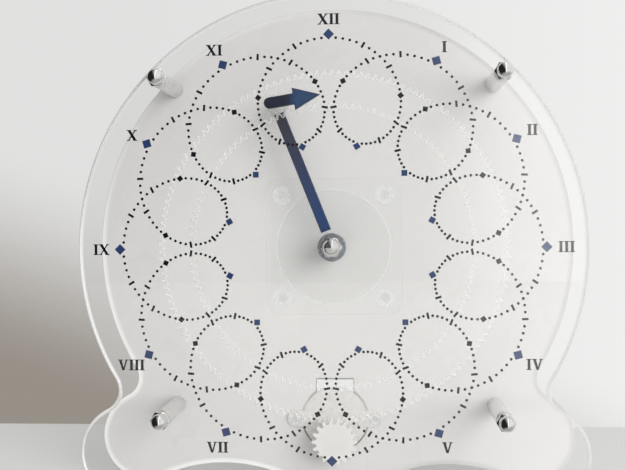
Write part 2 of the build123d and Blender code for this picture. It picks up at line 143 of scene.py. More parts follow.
class ClockPlateSizes(bpy.types.PropertyGroup):
    """Sizes of the two plates and of the holes in them."""

    radius: length("Disc radius", "Radius of the plates' round part", 0.104)
    foot_radius: length("Foot radius", "Radius of the round outer feet", 0.020)
    foot_span: length("Foot span", "Width over both outer feet", 0.208)
    waist_radius: length("Waist radius", "Radius of the hollow between disc and foot", 0.009)
    foot_flat: length("Foot flat", "Straight length under an outer foot", 0.0025)
    middle_foot: length("Middle foot", "Width of the foot between the arches", 0.035)
    arch_rise: length("Arch rise", "Height of the arches under the plates", 0.008)
    ease: length("Eased edge", "Rounding of the white sheet's cut edges", 0.00022)
    polish: length("Polished edge", "Rounding of the clear sheet's polished edges", 0.0014)
    # Width of the painted glow inside the white sheet's cut edge
    rim: length("Rim", "Width over which light from the cut edge brightens the white sheet", 0.0022)
    corner_hole: length("Corner hole", "Radius of the corner screws' holes", 0.00215)
    axle_hole: length("Axle hole", "Radius of the fixed axle's hole", 0.00265)
    support_pitch: length("Nylon screw pitch", "Distance between the nylon screws", 0.0448)
    motor_hole: length("Motor hole", "Radius of the cut-out round the motor's can", 0.0148)
    notch_width: length("Notch width", "Width of the square notch over the motor", 0.017)
    notch_top: length("Notch top", "Height of the notch over the motor's middle", 0.0177)
    ear_pitch: length("Ear pitch", "Distance between the motor's screws", 0.035)
    ear_hole: length("Ear hole", "Radius of the motor screws' holes", 0.00165)


class ClockDialSizes(bpy.types.PropertyGroup):
    """Sizes of the printed marks."""

    arrow_radius: length("Loop radius", "Radius of the marks' loops round the hand's axle", 0.02074)
    dot: length("Dot", "Diameter of a minute's dot", 0.00116)
    tick_length: length("Tick length", "Length of a five-minute tick", 0.0026)
    mark_shift: length("Mark shift", "How far hour and half-hour marks stand off the loops", 0.0014)
    tick_width: length("Tick width", "Width of a five-minute tick", 0.00095)
    quarter_side: length("Quarter mark", "Side of the square at a quarter", 0.0020)
    half_side: length("Half-hour mark", "Side of the square at a half hour", 0.0024)
    hour_side: length("Hour mark", "Side of the square at an hour", 0.0032)
    numeral_height: length("Numeral height", "Height of the Roman numerals", 0.00445)
    numeral_radius: length("Numeral radius", "Distance of the numerals from the hub", 0.0933)
    numeral_push: share("Numeral push", "How far a numeral's width moves it outwards at the sides", 0.5)
    ink_height: length("Ink height", "How far the print stands on the sheet", 0.00005)
    ink_gap: length("Ink gap", "Clearance under the print", 0.000005)
    dot_sides: count("Dot sides", "Sides of a minute's dot", 12)


class ClockHandSizes(bpy.types.PropertyGroup):
    """Sizes of the bar and the arrow."""

    bar_width: length("Bar width", "Width of the hour bar", 0.0045)
    bar_start: length("Bar start", "Distance of the bar's inner end from the hub", 0.0073)
    bar_end: length("Bar end", "Distance of the bar's outer end from the hub", 0.0615)
    arrow_tail: length("Arrow tail", "Length of the arrow's straight tail behind its axle", 0.0014)
    arrow_reach: length("Arrow reach", "Distance of the arrow's tip from its axle", 0.0198)
    shaft_width: length("Shaft width", "Width of the arrow's shaft", 0.0045)
    head_width: length("Head width", "Width of the arrow's head", 0.0092)
    head_length: length("Head length", "Length of the arrow's head", 0.0110)
    ease: length("Eased edge", "Chamfer of the cut edges", 0.0004)


class ClockHardwareSizes(bpy.types.PropertyGroup):
    """Sizes of the turned and plated hardware."""

    corner_inset: length("Corner inset", "Distance of the corner screws from the disc's edge", 0.005)
    spacer_radius: length("Spacer radius", "Outer radius of the tube spacers", 0.0035)
    corner_nut_width: length("Corner nut width", "Width across flats of the corner cap nuts", 0.007)
    corner_nut_hex: length("Corner nut hex", "Height of the corner cap nuts' hexagon", 0.0032)
    corner_dome: length("Corner dome", "Radius of the corner cap nuts' dome", 0.00325)
    hub_nut_width: length("Hub nut width", "Width across flats of the hub's cap nut", 0.008)
    hub_nut_hex: length("Hub nut hex", "Height of the hub cap nut's hexagon", 0.003)
    hub_dome: length("Hub dome", "Radius of the hub cap nut's dome", 0.00375)
    washer_radius: length("Washer radius", "Outer radius of the axle's washers", 0.006)
    washer_height: length("Washer height", "Thickness of the axle's washers", 0.001)
    edge: length("Turned edge", "Rounding of turned edges", 0.00025)
    sides: count("Round sides", "Facets round a turned piece", 72)


class ClockClearSizes(bpy.types.PropertyGroup):
    """Sizes of the clear wheels, and of the disc and the square behind them."""

    module: length("Module", "Pitch diameter of a wheel for each of its teeth", 0.001)
    tip_height: length("Tip height", "Height of the teeth outside the pitch circle", 0.0008)
    root_depth: length("Root depth", "Depth of the gaps inside the pitch circle", 0.00105)
    backlash: length("Backlash", "Play between meshing teeth", 0.0002)
    pressure: degrees("Pressure angle", "Lean of the flanks at the pitch circle", 25.0)
    sun_teeth: count("Sun teeth", "Teeth of the fixed wheel", 120)
    drive_teeth: count("Drive teeth", "Teeth of the wheel that carries the hand", 150)
    planet_teeth: count("Planet teeth", "Teeth of the hand's pinion", 10)
    motor_teeth: count("Motor teeth", "Teeth of the motor's pinion", 18)
    wheel_ease: length("Wheel edge", "Chamfer of the large wheels' teeth", 0.00033)
    pinion_ease: length("Pinion edge", "Chamfer of the pinions' teeth", 0.00012)
    bush_hole: length("Bush hole", "Radius of the drive wheel's hole for the hand's bush", 0.00255)
    planet_hole: length("Planet hole", "Radius of the hand pinion's hole", 0.00155)
    disc_radius: length("Disc radius", "Radius of the disc behind the drive wheel", 0.025)
    disc_hole: length("Disc hole", "Radius of the disc's hole for the hub's bush", 0.00405)
    square_side: length("Square side", "Side of the square plate under the axle", 0.060)
    square_corner: length("Square corner", "Corner radius of the square plate", 0.006)
    gap: length("Gap", "Clearance to the sheet that it lies against", 0.00003)
    disc_ease: length("Disc edge", "Rounding of the disc's edge", 0.0008)
    ease: length("Eased edge", "Rounding of the square plate's edges", 0.00025)


class ClockBoardSizes(bpy.types.PropertyGroup):
    """Sizes of the tracks, pads and legs on the circuit board."""

    track: length("Track", "Width of a signal track", 0.0006)
    supply: length("Supply track", "Width of a supply track", 0.0014)
    copper: length("Copper height", "How far tracks and pads stand on the board", 0.00004)
    pitch: length("Pin pitch", "Distance between the header's pins and between the chip's legs", 0.00254)
    leg_row: length("Leg row", "Distance of the chip's legs from its middle line", 0.0040)
    leg_width: length("Leg width", "Width of a leg's shoulder", 0.0013)
    leg_tip: length("Leg tip", "Width of a leg's tip", 0.0006)
    leg_sheet: length("Leg sheet", "Thickness of a leg", 0.0003)
    pad: length("Pad", "Diameter of a soldered pad", 0.0017)
    module_pad: length("Module pad", "Width of a pad at the module's sides", 0.0009)
    header_pins: count("Header pins", "Pins of the motor's header", 5)
    chip_legs: count("Chip legs", "Legs on each side of the chip", 8)
    module_pads: count("Module pads", "Pads on each side of the module", 12)


class ClockStageSizes(bpy.types.PropertyGroup):
    """Floor, lights and camera."""

    floor_back: length("Floor back", "Distance of the floor's back edge behind the clock", 0.134)
    floor_front: length("Floor front", "Distance of the floor's front edge before the clock", 1.5)
    floor_reach: length("Floor reach", "How far the floor runs to the sides", 1.6)
    floor_depth: length("Floor depth", "Thickness of the floor slab", 0.03)
    floor_round: length("Floor rounding", "Rounding of the floor's back edge", 0.004)
    lens: number("Lens", "Focal length of the camera in millimetres, on a 36 mm sensor", 55.87)
    roll: degrees("Roll", "Camera's lean to the right", 0.48)
    eye: point("Eye", "Place of the camera", 0.020480, -0.415419, 0.114041)
    aim: point("Aim", "Point in the middle of the picture", -0.007213, -0.020310, 0.109416)
    window: point("Window", "Place of the main soft light", 0.88, -1.0, 0.46)
    window_width: length("Window width", "Width of the main soft light", 0.9)
    window_power: watts("Window power", "Power of the main soft light", 12.2)
    glow: point("Glow", "Place of the light from the table", 0.02, -0.16, 0.03)
    glow_width: length("Glow width", "Width of the light from the table", 0.26)
    glow_height: length("Glow height", "Height of the light from the table", 0.03)
    glow_power: watts("Glow power", "Power of the light from the table", 0.055)
    ambient: number("Ambient", "Strength of the light from all round", 0.64)


class ClockColours(bpy.types.PropertyGroup):
    """Colours of the finishes."""

    clear: colour("Clear sheet", "Clear acrylic sheet", 0.97, 0.971, 0.968)
    thin_clear: colour("Thin clear sheet", "Clear sheet of wheels and discs", 0.997, 0.998, 0.997)
    cut_edge: colour("Cut edge", "Frosted cut edge of clear sheet", 0.98, 0.98, 0.97)
    # Painted shade: the clear sheet's cut edge on the window's side and higher up
    edge_painted_shade: colour("Dull edge", "Frosted cut edge on the window's side", 0.66, 0.66, 0.655)
    white: colour("White sheet", "Opal white sheet", 0.70, 0.686, 0.68)
    # Painted glow and painted shade of the white sheet by its cut edge
    white_painted_glow: colour("White rim", "White sheet close to its cut edge", 0.94, 0.94, 0.93)
    white_painted_shade: colour("Dull rim", "White sheet by its cut edge on the window's side", 0.58, 0.57, 0.565)
    milky: colour("Milky", "Frosted pinion of the motor", 0.76, 0.74, 0.725)
    ink: colour("Dark ink", "Dots, ticks and numerals", 0.003, 0.0035, 0.008)
    blue_ink: colour("Blue ink", "Hour and half-hour marks", 0.022, 0.046, 0.135)
    bar_blue: colour("Bar blue", "Blue sheet of the hour bar", 0.016, 0.048, 0.16)
    # Painted reflection: the grey that the hour bar shows towards its outer end
    bar_painted_reflection: colour("Bar grey", "Blue sheet at the bar's outer end", 0.04, 0.04, 0.055)
    arrow_navy: colour("Arrow navy", "Dark sheet of the arrow's shaft", 0.016, 0.020, 0.040)
    arrow_blue: colour("Arrow blue", "Dark sheet of the arrow's head", 0.030, 0.066, 0.15)
    nickel: colour("Nickel", "Bright plated nuts", 0.74, 0.74, 0.73)
    tube: colour("Tube", "Satin tube spacers", 0.86, 0.86, 0.85)
    steel: colour("Steel", "Zinc-plated steel", 0.66, 0.66, 0.66)
    washer: colour("Washer", "Blue-passivated washers of the axle", 0.46, 0.49, 0.52)
    can: colour("Can", "Steel of the motor's can, the shield and the inlet, and solder", 0.74, 0.73, 0.72)
    motor: colour("Motor", "Pale plated steel of the motor's front", 0.88, 0.865, 0.845)
    cover: colour("Cover", "White moulded cover of the motor", 0.80, 0.80, 0.78)
    nylon: colour("Nylon", "Translucent nylon", 0.88, 0.89, 0.88)
    board: colour("Board", "Solder mask of the board", 0.012, 0.11, 0.05)
    track: colour("Track", "Copper track under the solder mask", 0.03, 0.20, 0.09)
    gold: colour("Gold", "Gold-plated pins", 0.80, 0.60, 0.25)
    black: colour("Black plastic", "Moulded black plastic", 0.018, 0.018, 0.02)
    floor: colour("Floor", "Pale floor", 0.88, 0.88, 0.87)


class Value:
    """A number that changes over a surface; arithmetic on it adds Math nodes."""

    def __init__(self, finish, socket):
        self.finish = finish
        self.socket = socket

    def work(self, operation, *values):
        """The result of one Math node."""
        node = self.finish.node("ShaderNodeMath", {"operation": operation}, dict(enumerate(values)))
        return Value(self.finish, node.outputs[0])

    def __add__(self, other):
        return self.work("ADD", self, other)

    __radd__ = __add__

    def __sub__(self, other):
        return self.work("SUBTRACT", self, other)

    def __rsub__(self, other):
        return self.work("SUBTRACT", other, self)

    def __mul__(self, other):
        return self.work("MULTIPLY", self, other)

    __rmul__ = __mul__

    def __abs__(self):
        return self.work("ABSOLUTE", self)

    def over(self, low, high):
        """0 up to low, 1 from high on, and a smooth step between."""
        settings = {"interpolation_type": "SMOOTHSTEP"}
        inputs = {"Value": self, "From Min": low, "From Max": high}
        node = self.finish.node("ShaderNodeMapRange", settings, inputs)
        return Value(self.finish, node.outputs["Result"])


class Finish:
    """The node tree of a material or of the world, with the one method that adds a node to it."""

    def __init__(self, owner):
        owner.use_nodes = True
        self.owner = owner
        self.tree = owner.node_tree
        self.tree.nodes.clear()

    def node(self, kind, settings=None, inputs=None):
        """Adds a node, sets its settings first and then its sockets, by value or by link."""
        made = self.tree.nodes.new(kind)
        for name, setting in (settings or {}).items():
            setattr(made, name, setting)
        for name, given in (inputs or {}).items():
            socket = given.socket if isinstance(given, Value) else given
            if isinstance(socket, bpy.types.NodeSocket):
                self.tree.links.new(socket, made.inputs[name])
            else:
                made.inputs[name].default_value = socket
        return made

    def value(self, node, output):
        """One output of a node as a number for arithmetic."""
        return Value(self, node.outputs[output])

    def place(self, stretch=(1.0, 1.0, 1.0)):
        """Object coordinates, stretched."""
        coordinates = self.node("ShaderNodeTexCoord")
        inputs = {"Vector": coordinates.outputs["Object"], "Scale": stretch}
        return self.node("ShaderNodeMapping", {}, inputs).outputs[0]

    def part(self, vector, axis):
        """One part of a vector."""
        split = self.node("ShaderNodeSeparateXYZ", {}, {"Vector": vector})
        return self.value(split, axis)

    def along(self, axis):
        """One object coordinate, in metres."""
        return self.part(self.place(), axis)

    def edge(self):
        """1 on a sheet's cut edges, whose normals lie across the clock's depth, and 0 on its faces."""
        coordinates = self.node("ShaderNodeTexCoord")
        return 1.0 - abs(self.part(coordinates.outputs["Normal"], "Y")).over(0.78, 0.985)

    def noise(self, scale, detail=2.0, stretch=(1.0, 1.0, 1.0)):
        """Noise from 0 to 1 on the object's own coordinates."""
        node = self.node(
            "ShaderNodeTexNoise", {}, {"Vector": self.place(stretch), "Scale": scale, "Detail": detail}
        )
        return self.value(node, "Fac")

    def cut_lines(self):
        """Fine lines that the cutting leaves through the sheet on its edges, from 0 to 1."""
        return self.noise(900.0, 3.0, (1.0, 0.06, 1.0))

    def mix(self, factor, first, second):
        """A colour between two colours."""
        inputs = {"Factor": factor, 6: rgba(first), 7: rgba(second)}
        return self.node("ShaderNodeMix", {"data_type": "RGBA"}, inputs).outputs[2]

    def bump(self, height, depth):
        """A normal from a height that runs from 0 to 1, with its real depth in metres."""
        node = self.node("ShaderNodeBump", {}, {"Height": height, "Distance": depth, "Strength": 1.0})
        return node.outputs["Normal"]

    def coated(self, **sockets):
        """A Principled shader; an underscore in a name stands for a space."""
        inputs = {name.replace("_", " "): given for name, given in sockets.items()}
        return self.node("ShaderNodeBsdfPrincipled", {}, inputs).outputs["BSDF"]

    def blend(self, factor, first, second):
        """A surface between two surfaces."""
        return self.node("ShaderNodeMixShader", {}, {0: factor, 1: first, 2: second}).outputs[0]

    def show(self, surface, output="ShaderNodeOutputMaterial"):
        """Ends the tree with this surface and gives back the material or the world."""
        self.node(output, {}, {"Surface": surface})
        return self.owner


def rgba(tint):
    """A property's colour with full alpha; a socket passes as it is."""
    if isinstance(tint, bpy.types.NodeSocket):
        return tint
    return (*tint, 1.0)


def toned(tint, factor):
    """A colour made darker or paler by a factor."""
    return tuple(channel * factor for channel in tint)


def new_finish(name):
    """The tree of a new material."""
    return Finish(bpy.data.materials.new(name))


def clear_sheet():
    """Clear acrylic: polished faces, and cut edges whose fine lines scatter light. The cut edge has a
    painted glow, brightest low down on the side away from the window, and painted shade on the window's
    side and higher up."""
    tints = bpy.context.scene.clock_colours
    finish = new_finish("clear_sheet")
    lines = finish.cut_lines()
    edge = finish.edge()
    glass = finish.coated(
        Base_Color=rgba(tints.clear),
        Roughness=edge * (0.06 + 0.25 * lines),
        IOR=ACRYLIC_IOR,
        Transmission_Weight=1.0,
    )
    # Painted glow and painted shade on the cut edge: bright low down on the left, dull towards the window
    # and higher up
    bright = (1.0 - finish.along("X").over(-0.07, 0.04)) * (1.0 - finish.along("Z").over(0.10, 0.135))
    edge_tone = finish.mix(bright, tints.edge_painted_shade, tints.cut_edge)
    frost = finish.coated(Base_Color=edge_tone, Roughness=0.25, IOR=ACRYLIC_IOR)
    return finish.show(finish.blend(edge * (0.85 + 0.1 * lines), glass, frost))


def clear_film(name, haze, frosting):
    """Clear acrylic among other clear sheet: faces with a slight haze, cut edges frosted."""
    tints = bpy.context.scene.clock_colours
    finish = new_finish(name)
    lines = finish.cut_lines()
    frost = finish.coated(Base_Color=rgba(tints.cut_edge), Roughness=0.2 + 0.2 * lines, IOR=ACRYLIC_IOR)
    unseen = finish.node("ShaderNodeBsdfTransparent", {}, {"Color": rgba(tints.thin_clear)}).outputs[0]
    shown = haze + finish.edge() * frosting * (0.6 + 0.4 * lines)
    return finish.show(finish.blend(shown, unseen, frost))


def white_sheet():
    """Opal white acrylic with a faint cloudiness. Close to its cut edge it has a painted glow on the left,
    fading higher up, and painted shade on the right."""
    tints = bpy.context.scene.clock_colours
    finish = new_finish("white_sheet")
    rim = finish.value(finish.node("ShaderNodeAttribute", {"attribute_name": "rim"}), "Fac")
    cloud = finish.noise(22.0, 3.0)
    # Painted glow along the cut edge, fading higher up, and painted shade by the edge on the window's side
    glow = finish.mix(finish.along("Z").over(0.09, 0.15) * 0.75, tints.white_painted_glow, tints.white)
    edge_tone = finish.mix(finish.along("X").over(-0.03, 0.05), glow, tints.white_painted_shade)
    surface = finish.coated(
        Base_Color=finish.mix(rim * (1.9 - rim) + cloud * 0.1, tints.white, edge_tone),
        Roughness=0.22 + 0.12 * cloud,
        Specular_IOR_Level=0.4,
    )
    return finish.show(surface)


def print_ink(name, tint):
    """Screen-printed ink: a little uneven in tone and gloss."""
    finish = new_finish(name)
    grain = finish.noise(2600.0, 3.0)
    patch = finish.noise(160.0, 2.0)
    dark = toned(tint, 0.75)
    pale = toned(tint, 1.35)
    surface = finish.coated(
        Base_Color=finish.mix(0.5 * grain + 0.5 * patch, dark, pale),
        Roughness=0.1 + 0.06 * grain,
        Specular_IOR_Level=0.5,
        Normal=finish.bump(grain, 0.000004),
    )
    return finish.show(surface)


def tinted_sheet(name, near, far, axis, start, end):
    """Coloured acrylic with polished faces, whose tone runs from near to far along one coordinate."""
    finish = new_finish(name)
    run = finish.along(axis).over(start, end)
    lines = finish.cut_lines()
    edge = finish.edge()
    tone = finish.mix(run, near, far)
    edge_tone = toned(near, 0.45)
    surface = finish.coated(
        Base_Color=finish.mix(edge * 0.6, tone, edge_tone),
        Roughness=0.14 + edge * (0.2 + 0.3 * lines),
        Specular_IOR_Level=0.35,
    )
    return finish.show(surface)


def plated(name, tint, roughness, metal=1.0, lines=0.0):
    """Plated or polished metal with handling marks, and fine drawn rings where lines is 1."""
    finish = new_finish(name)
    marks = finish.noise(700.0, 4.0)
    rings = finish.noise(2500.0, 2.0, (0.02, 1.0, 0.02))
    dull = toned(tint, 0.8)
    surface = finish.coated(
        Base_Color=finish.mix(marks.over(0.35, 0.75) * 0.6, tint, dull),
        Metallic=metal,
        Roughness=roughness + 0.12 * marks.over(0.4, 0.8) + lines * 0.1 * rings,
        Normal=finish.bump(marks * 0.4 + rings * (0.6 * lines), 0.000006),
    )
    return finish.show(surface)


def moulded(name, tint, roughness, grain_depth):
    """Moulded plastic with a fine spark-eroded grain."""
    finish = new_finish(name)
    grain = finish.noise(3500.0, 3.0)
    patch = finish.noise(90.0, 2.0)
    pale = tuple(min(1.0, channel * 1.3 + 0.004) for channel in tint)
    surface = finish.coated(
        Base_Color=finish.mix(0.6 * patch + 0.4 * grain, tint, pale),
        Roughness=roughness + 0.15 * grain,
        Normal=finish.bump(grain, grain_depth),
    )
    return finish.show(surface)


def two_tone(name, level, plastic, metal):
    """Black plastic up to a depth, and plated metal behind it."""
    finish = new_finish(name)
    marks = finish.noise(700.0, 3.0)
    beyond = finish.along("Y").over(level - 0.00001, level + 0.00001)
    surface = finish.coated(
        Base_Color=finish.mix(beyond, plastic, metal),
        Metallic=beyond,
        Roughness=0.4 - 0.16 * beyond + 0.15 * marks,
    )
    return finish.show(surface)


def translucent_nylon():
    """Milky clear nylon with flow clouds."""
    tints = bpy.context.scene.clock_colours
    finish = new_finish("translucent_nylon")
    cloud = finish.noise(450.0, 3.0)
    milky = toned(tints.nylon, 0.93)
    surface = finish.coated(
        Base_Color=finish.mix(cloud, tints.nylon, milky),
        Roughness=0.18 + 0.2 * cloud,
        IOR=NYLON_IOR,
        Transmission_Weight=0.4,
    )
    return finish.show(surface)


def into_scene(name, data):
    """A new object in the scene."""
    made = bpy.data.objects.new(name, data)
    bpy.context.scene.collection.objects.link(made)
    return made


class Shape:
    """Points and faces of one piece, gathered from surfaces."""

    def __init__(self):
        self.points = []
        self.faces = []
        self.rims = []
        self.total = 0

    def add(self, points, faces, rim=0.0):
        """Adds an array of points, with groups of faces that count from its first point."""
        flat = np.asarray(points, float).reshape(-1, 3)
        for group in faces:
            self.faces += (np.asarray(group) + self.total).tolist()
        self.points.append(flat)
        self.rims.append(np.broadcast_to(np.asarray(rim, float), len(flat)))
        self.total += len(flat)

    def grid(self, points, closed=True, rim=0.0):
        """A surface on a grid of points, rows by columns; columns join into a ring where closed is true."""
        rows, columns = points.shape[:2]
        index = np.arange(rows * columns).reshape(rows, columns)
        ahead = np.roll(index, -1, axis=1)
        if not closed:
            index, ahead = index[:, :-1], ahead[:, :-1]
        corners = (index[:-1], ahead[:-1], ahead[1:], index[1:])
        self.add(points, [np.stack(corners, axis=-1).reshape(-1, 4)], rim)

    def mesh(self, name):
        """The gathered points and faces as a mesh."""
        mesh = bpy.data.meshes.new(name)
        mesh.from_pydata(np.concatenate(self.points), [], self.faces)
        return mesh

    def piece(self, name, material, body, slot, *nodes):
        """Makes the mesh, closes its seams, turns its faces outwards and rides it on a body."""
        mesh = self.mesh(name)
        # The rim attribute carries the mask of the painted glow by the white sheet's cut edge
        rim = mesh.attributes.new("rim", "FLOAT", "POINT")
        rim.data.foreach_set("value", np.concatenate(self.rims).astype(np.float32))
        work = bmesh.new()
        work.from_mesh(mesh)
        bmesh.ops.remove_doubles(work, verts=work.verts, dist=MERGE_DISTANCE)
        bmesh.ops.dissolve_degenerate(work, edges=work.edges, dist=MERGE_DISTANCE / 10)
        bmesh.ops.recalc_face_normals(work, faces=work.faces)
        work.to_mesh(mesh)
        work.free()
        mesh.set_sharp_from_angle(angle=SHARP_ANGLE)
        normals = np.empty(3 * len(mesh.polygons), np.float32)
        mesh.polygons.foreach_get("normal", normals)
        mesh.polygons.foreach_set("use_smooth", np.abs(normals[1::3]) < FLAT)
        mesh.materials.append(material)
        made = into_scene(name, mesh)
        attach(made, body)
        if nodes:
            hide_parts(*nodes)
        return made


def stand(flat, depth):
    """Points across and up from the hub, stood up at a depth."""
    flat = np.asarray(flat, float)
    deep = np.broadcast_to(np.asarray(depth, float), flat.shape[:-1])
    return np.stack((HUB[0] + flat[..., 0], deep, HUB[2] + flat[..., 1]), axis=-1)


def arc(middle, radius, start, end, step=radians(1.5)):
    """Points on a circle: middle + radius * (cos a, sin a), with a from start up to, but not at, end."""
    parts = max(2, int(abs(end - start) / step))
    angles = np.linspace(start, end, parts, endpoint=False)
    return np.column_stack((middle[0] + radius * np.cos(angles), middle[1] + radius * np.sin(angles)))


# Facets of a hole, of the hand pinion's small hole, of the disc, of a soldered pad and of a track's joint
HOLE_SIDES = 72
SMALL_HOLE_SIDES = 24
DISC_SIDES = 144
PAD_SIDES = 16
JOINT_SIDES = 10


def ring(middle, radius, sides=HOLE_SIDES):
    """A full circle of points."""
    return arc(middle, radius, 0.0, 2 * pi, 2 * pi / sides)


def turned(flat, angle):
    """Points turned clockwise by an angle."""
    flat = np.asarray(flat, float)
    across = flat[..., 0] * np.cos(angle) + flat[..., 1] * np.sin(angle)
    up = flat[..., 1] * np.cos(angle) - flat[..., 0] * np.sin(angle)
    return np.stack((across, up), axis=-1)


def inset(loop, distance):
    """A closed loop moved to its left by a distance, each point along the mean of its edges' normals."""
    edges = np.roll(loop, -1, axis=0) - loop
    edges /= np.linalg.norm(edges, axis=1, keepdims=True)
    normals = np.column_stack((-edges[:, 1], edges[:, 0]))
    mean = normals + np.roll(normals, 1, axis=0)
    mean /= np.maximum(1e-9, (mean * normals).sum(axis=1, keepdims=True))
    return loop + distance * mean


def cut_sheet(shape, outline, holes, front, back, ease, rim=0.0, bows=1):
    """A sheet cut along an outline that runs anticlockwise, with holes that do too.
    Each loop is carried from the front face over an edge rounded in a number of bows, through the sheet
    and over to the back face, and the faces are filled between the innermost loops. A painted glow from
    the cut edge fades over the rim's width inside the outline."""
    bend = np.linspace(0.0, pi / 2, bows + 1)
    rounding = list(zip(ease * (1.0 - np.sin(bend)), ease * (1.0 - np.cos(bend))))
    wall = [(step_in, front + deep, 1.0) for step_in, deep in rounding]
    wall += [(step_in, back - deep, 1.0) for step_in, deep in reversed(rounding)]
    outer = [(ease + rim, front, 0.0), *wall, (ease + rim, back, 0.0)] if rim else wall
    loops = [(outline, outer, 1.0, 1.0)]
    loops += [(hole, wall, -1.0, 0.0) for hole in holes]
    face_loops = []
    for loop, steps, inward, lit in loops:
        rows = [stand(inset(loop, inward * step_in), depth) for step_in, depth, _ in steps]
        light = [lit * amount for _, _, amount in steps]
        shape.grid(np.stack(rows), rim=np.repeat(light, len(loop)))
        face_loops.append(inset(loop, inward * steps[0][0]))
    flat = np.concatenate(face_loops)
    corners = [[Vector((x, y, 0.0)) for x, y in loop] for loop in face_loops]
    triangles = np.array(tessellate_polygon(corners))
    for depth in (front, back):
        shape.add(stand(flat, depth), [triangles])


def lathe(shape, middle, profile, sides):
    """A profile of (radius, depth) carried round an axis along the depth, at (across, up) from the hub."""
    profile = np.asarray(profile, float)
    angles = np.linspace(0.0, 2 * pi, sides, endpoint=False)
    across = middle[0] + profile[:, :1] * np.cos(angles)
    up = middle[1] + profile[:, :1] * np.sin(angles)
    shape.grid(stand(np.stack((across, up), axis=-1), profile[:, 1:]))


def tube(shape, middle, inner, outer, front, back, edge, sides):
    """A ring of a rounded rectangle's section; the profile runs round and closes on itself."""
    soft = edge * (1.0 - sqrt(0.5))
    profile = [(inner, front + edge), (inner + edge, front)]
    profile += [(outer - edge, front), (outer - soft, front + soft), (outer, front + edge)]
    profile += [(outer, back - edge), (outer - soft, back - soft), (outer - edge, back)]
    profile += [(inner + edge, back), (inner, back - edge), (inner, front + edge)]
    lathe(shape, middle, profile, sides)


# A cap nut's facets, and the slope of its chamfers
NUT_SIDES = 144
CHAMFER_SLOPE = 0.58
# Shares of half a cap nut's width: its flat seat, and the radius that its chamfers' height counts from
SEAT_SHARE = 0.95
CHAMFER_SHARE = 0.96
# The collar under the dome: its radius as a share of the dome's, and its height as a share of the rise
COLLAR_SHARE = 1.02
COLLAR_RISE_SHARE = 0.06


def cap_nut(shape, middle, width, hex_height, dome, seat, tip, bore):
    """A cap nut whose radius is the least of a hexagon, its two chamfer cones and a dome.
    Rows run from the seat to the tip; hexagon radius is half the width over cos of the angle off a flat."""
    angles = np.linspace(0.0, 2 * pi, NUT_SIDES, endpoint=False)
    flat_angle = np.mod(angles, pi / 3) - pi / 6
    hexagon = width / 2 / np.cos(flat_angle)
    corner = width / 2 / cos(pi / 6)
    lift = np.sign(tip - seat)
    seat_radius = SEAT_SHARE * width / 2
    chamfer = CHAMFER_SLOPE * (corner - CHAMFER_SHARE * width / 2)
    limits = [(bore, 0.0), (seat_radius, 0.0)]
    limits += [(seat_radius + climb / CHAMFER_SLOPE, climb) for climb in np.linspace(0.0, chamfer, 5)[1:]]
    limits += [(corner, hex_height - chamfer)]
    climbs = np.linspace(0.0, chamfer, 6)[1:]
    limits += [(corner - climb / CHAMFER_SLOPE, hex_height - chamfer + climb) for climb in climbs]
    limits += [(dome * COLLAR_SHARE, hex_height)]
    rise = abs(tip - seat) - hex_height
    bow = np.linspace(0.0, pi / 2, 14)
    straight = max(0.0, rise - dome)
    limits += [(dome, hex_height + COLLAR_RISE_SHARE * rise)]
    limits += [(dome * cos(a), hex_height + straight + (rise - straight) * sin(a)) for a in bow]
    limits = np.array(limits)
    radius = np.minimum(hexagon[None, :], limits[:, :1])
    flat = np.stack((middle[0] + radius * np.cos(angles), middle[1] + radius * np.sin(angles)), axis=-1)
    shape.grid(stand(flat, seat + lift * limits[:, 1:]))


def plate_outline():
    """The plates' outline, anticlockwise: arch, foot, hollow waist and disc, round parts tangent to the
    next, and the same on the left."""
    sizes = bpy.context.scene.clock_plates
    floor = -HUB[2]
    foot = np.array((sizes.foot_span / 2 - sizes.foot_radius, floor + sizes.foot_radius))
    far = sizes.radius + sizes.waist_radius
    near = sizes.foot_radius + sizes.waist_radius
    span = np.linalg.norm(foot)
    along = (far**2 + span**2 - near**2) / (2 * span)
    aside = sqrt(far**2 - along**2)
    waist = foot / span * along + np.array((-foot[1], foot[0])) / span * aside
    arch_start = sizes.middle_foot / 2
    arch_end = foot[0] - sizes.foot_flat
    half = (arch_end - arch_start) / 2
    bend = (half**2 + sizes.arch_rise**2) / (2 * sizes.arch_rise)
    arch_middle = ((arch_start + arch_end) / 2, floor + sizes.arch_rise - bend)
    lean = acos(half / bend)
    to_waist = waist - foot
    foot_end = atan2(to_waist[1], to_waist[0])
    disc_start = atan2(waist[1], waist[0])
    right = np.concatenate((
        arc(arch_middle, bend, pi - lean, lean),
        [(arch_end, floor)],
        arc(foot, sizes.foot_radius, -pi / 2, foot_end),
        arc(waist, sizes.waist_radius, foot_end + pi, disc_start + pi),
        arc((0.0, 0.0), sizes.radius, disc_start, pi / 2, radians(0.75)),
        [(0.0, sizes.radius)],
    ))
    left = right[-2::-1] * (-1.0, 1.0)
    return np.concatenate((right, left))


def corner_places():
    """The four corner screws, across and up from the hub."""
    circle = bpy.context.scene.clock_plates.radius - bpy.context.scene.clock_hardware.corner_inset
    return turned(np.tile((0.0, circle), (4, 1)), np.radians((45.0, 135.0, 225.0, 315.0)))


def nylon_places():
    """The four nylon screws, across and up from the hub."""
    half = bpy.context.scene.clock_plates.support_pitch / 2
    return [(x, y) for x in (-half, half) for y in (-half, half)]


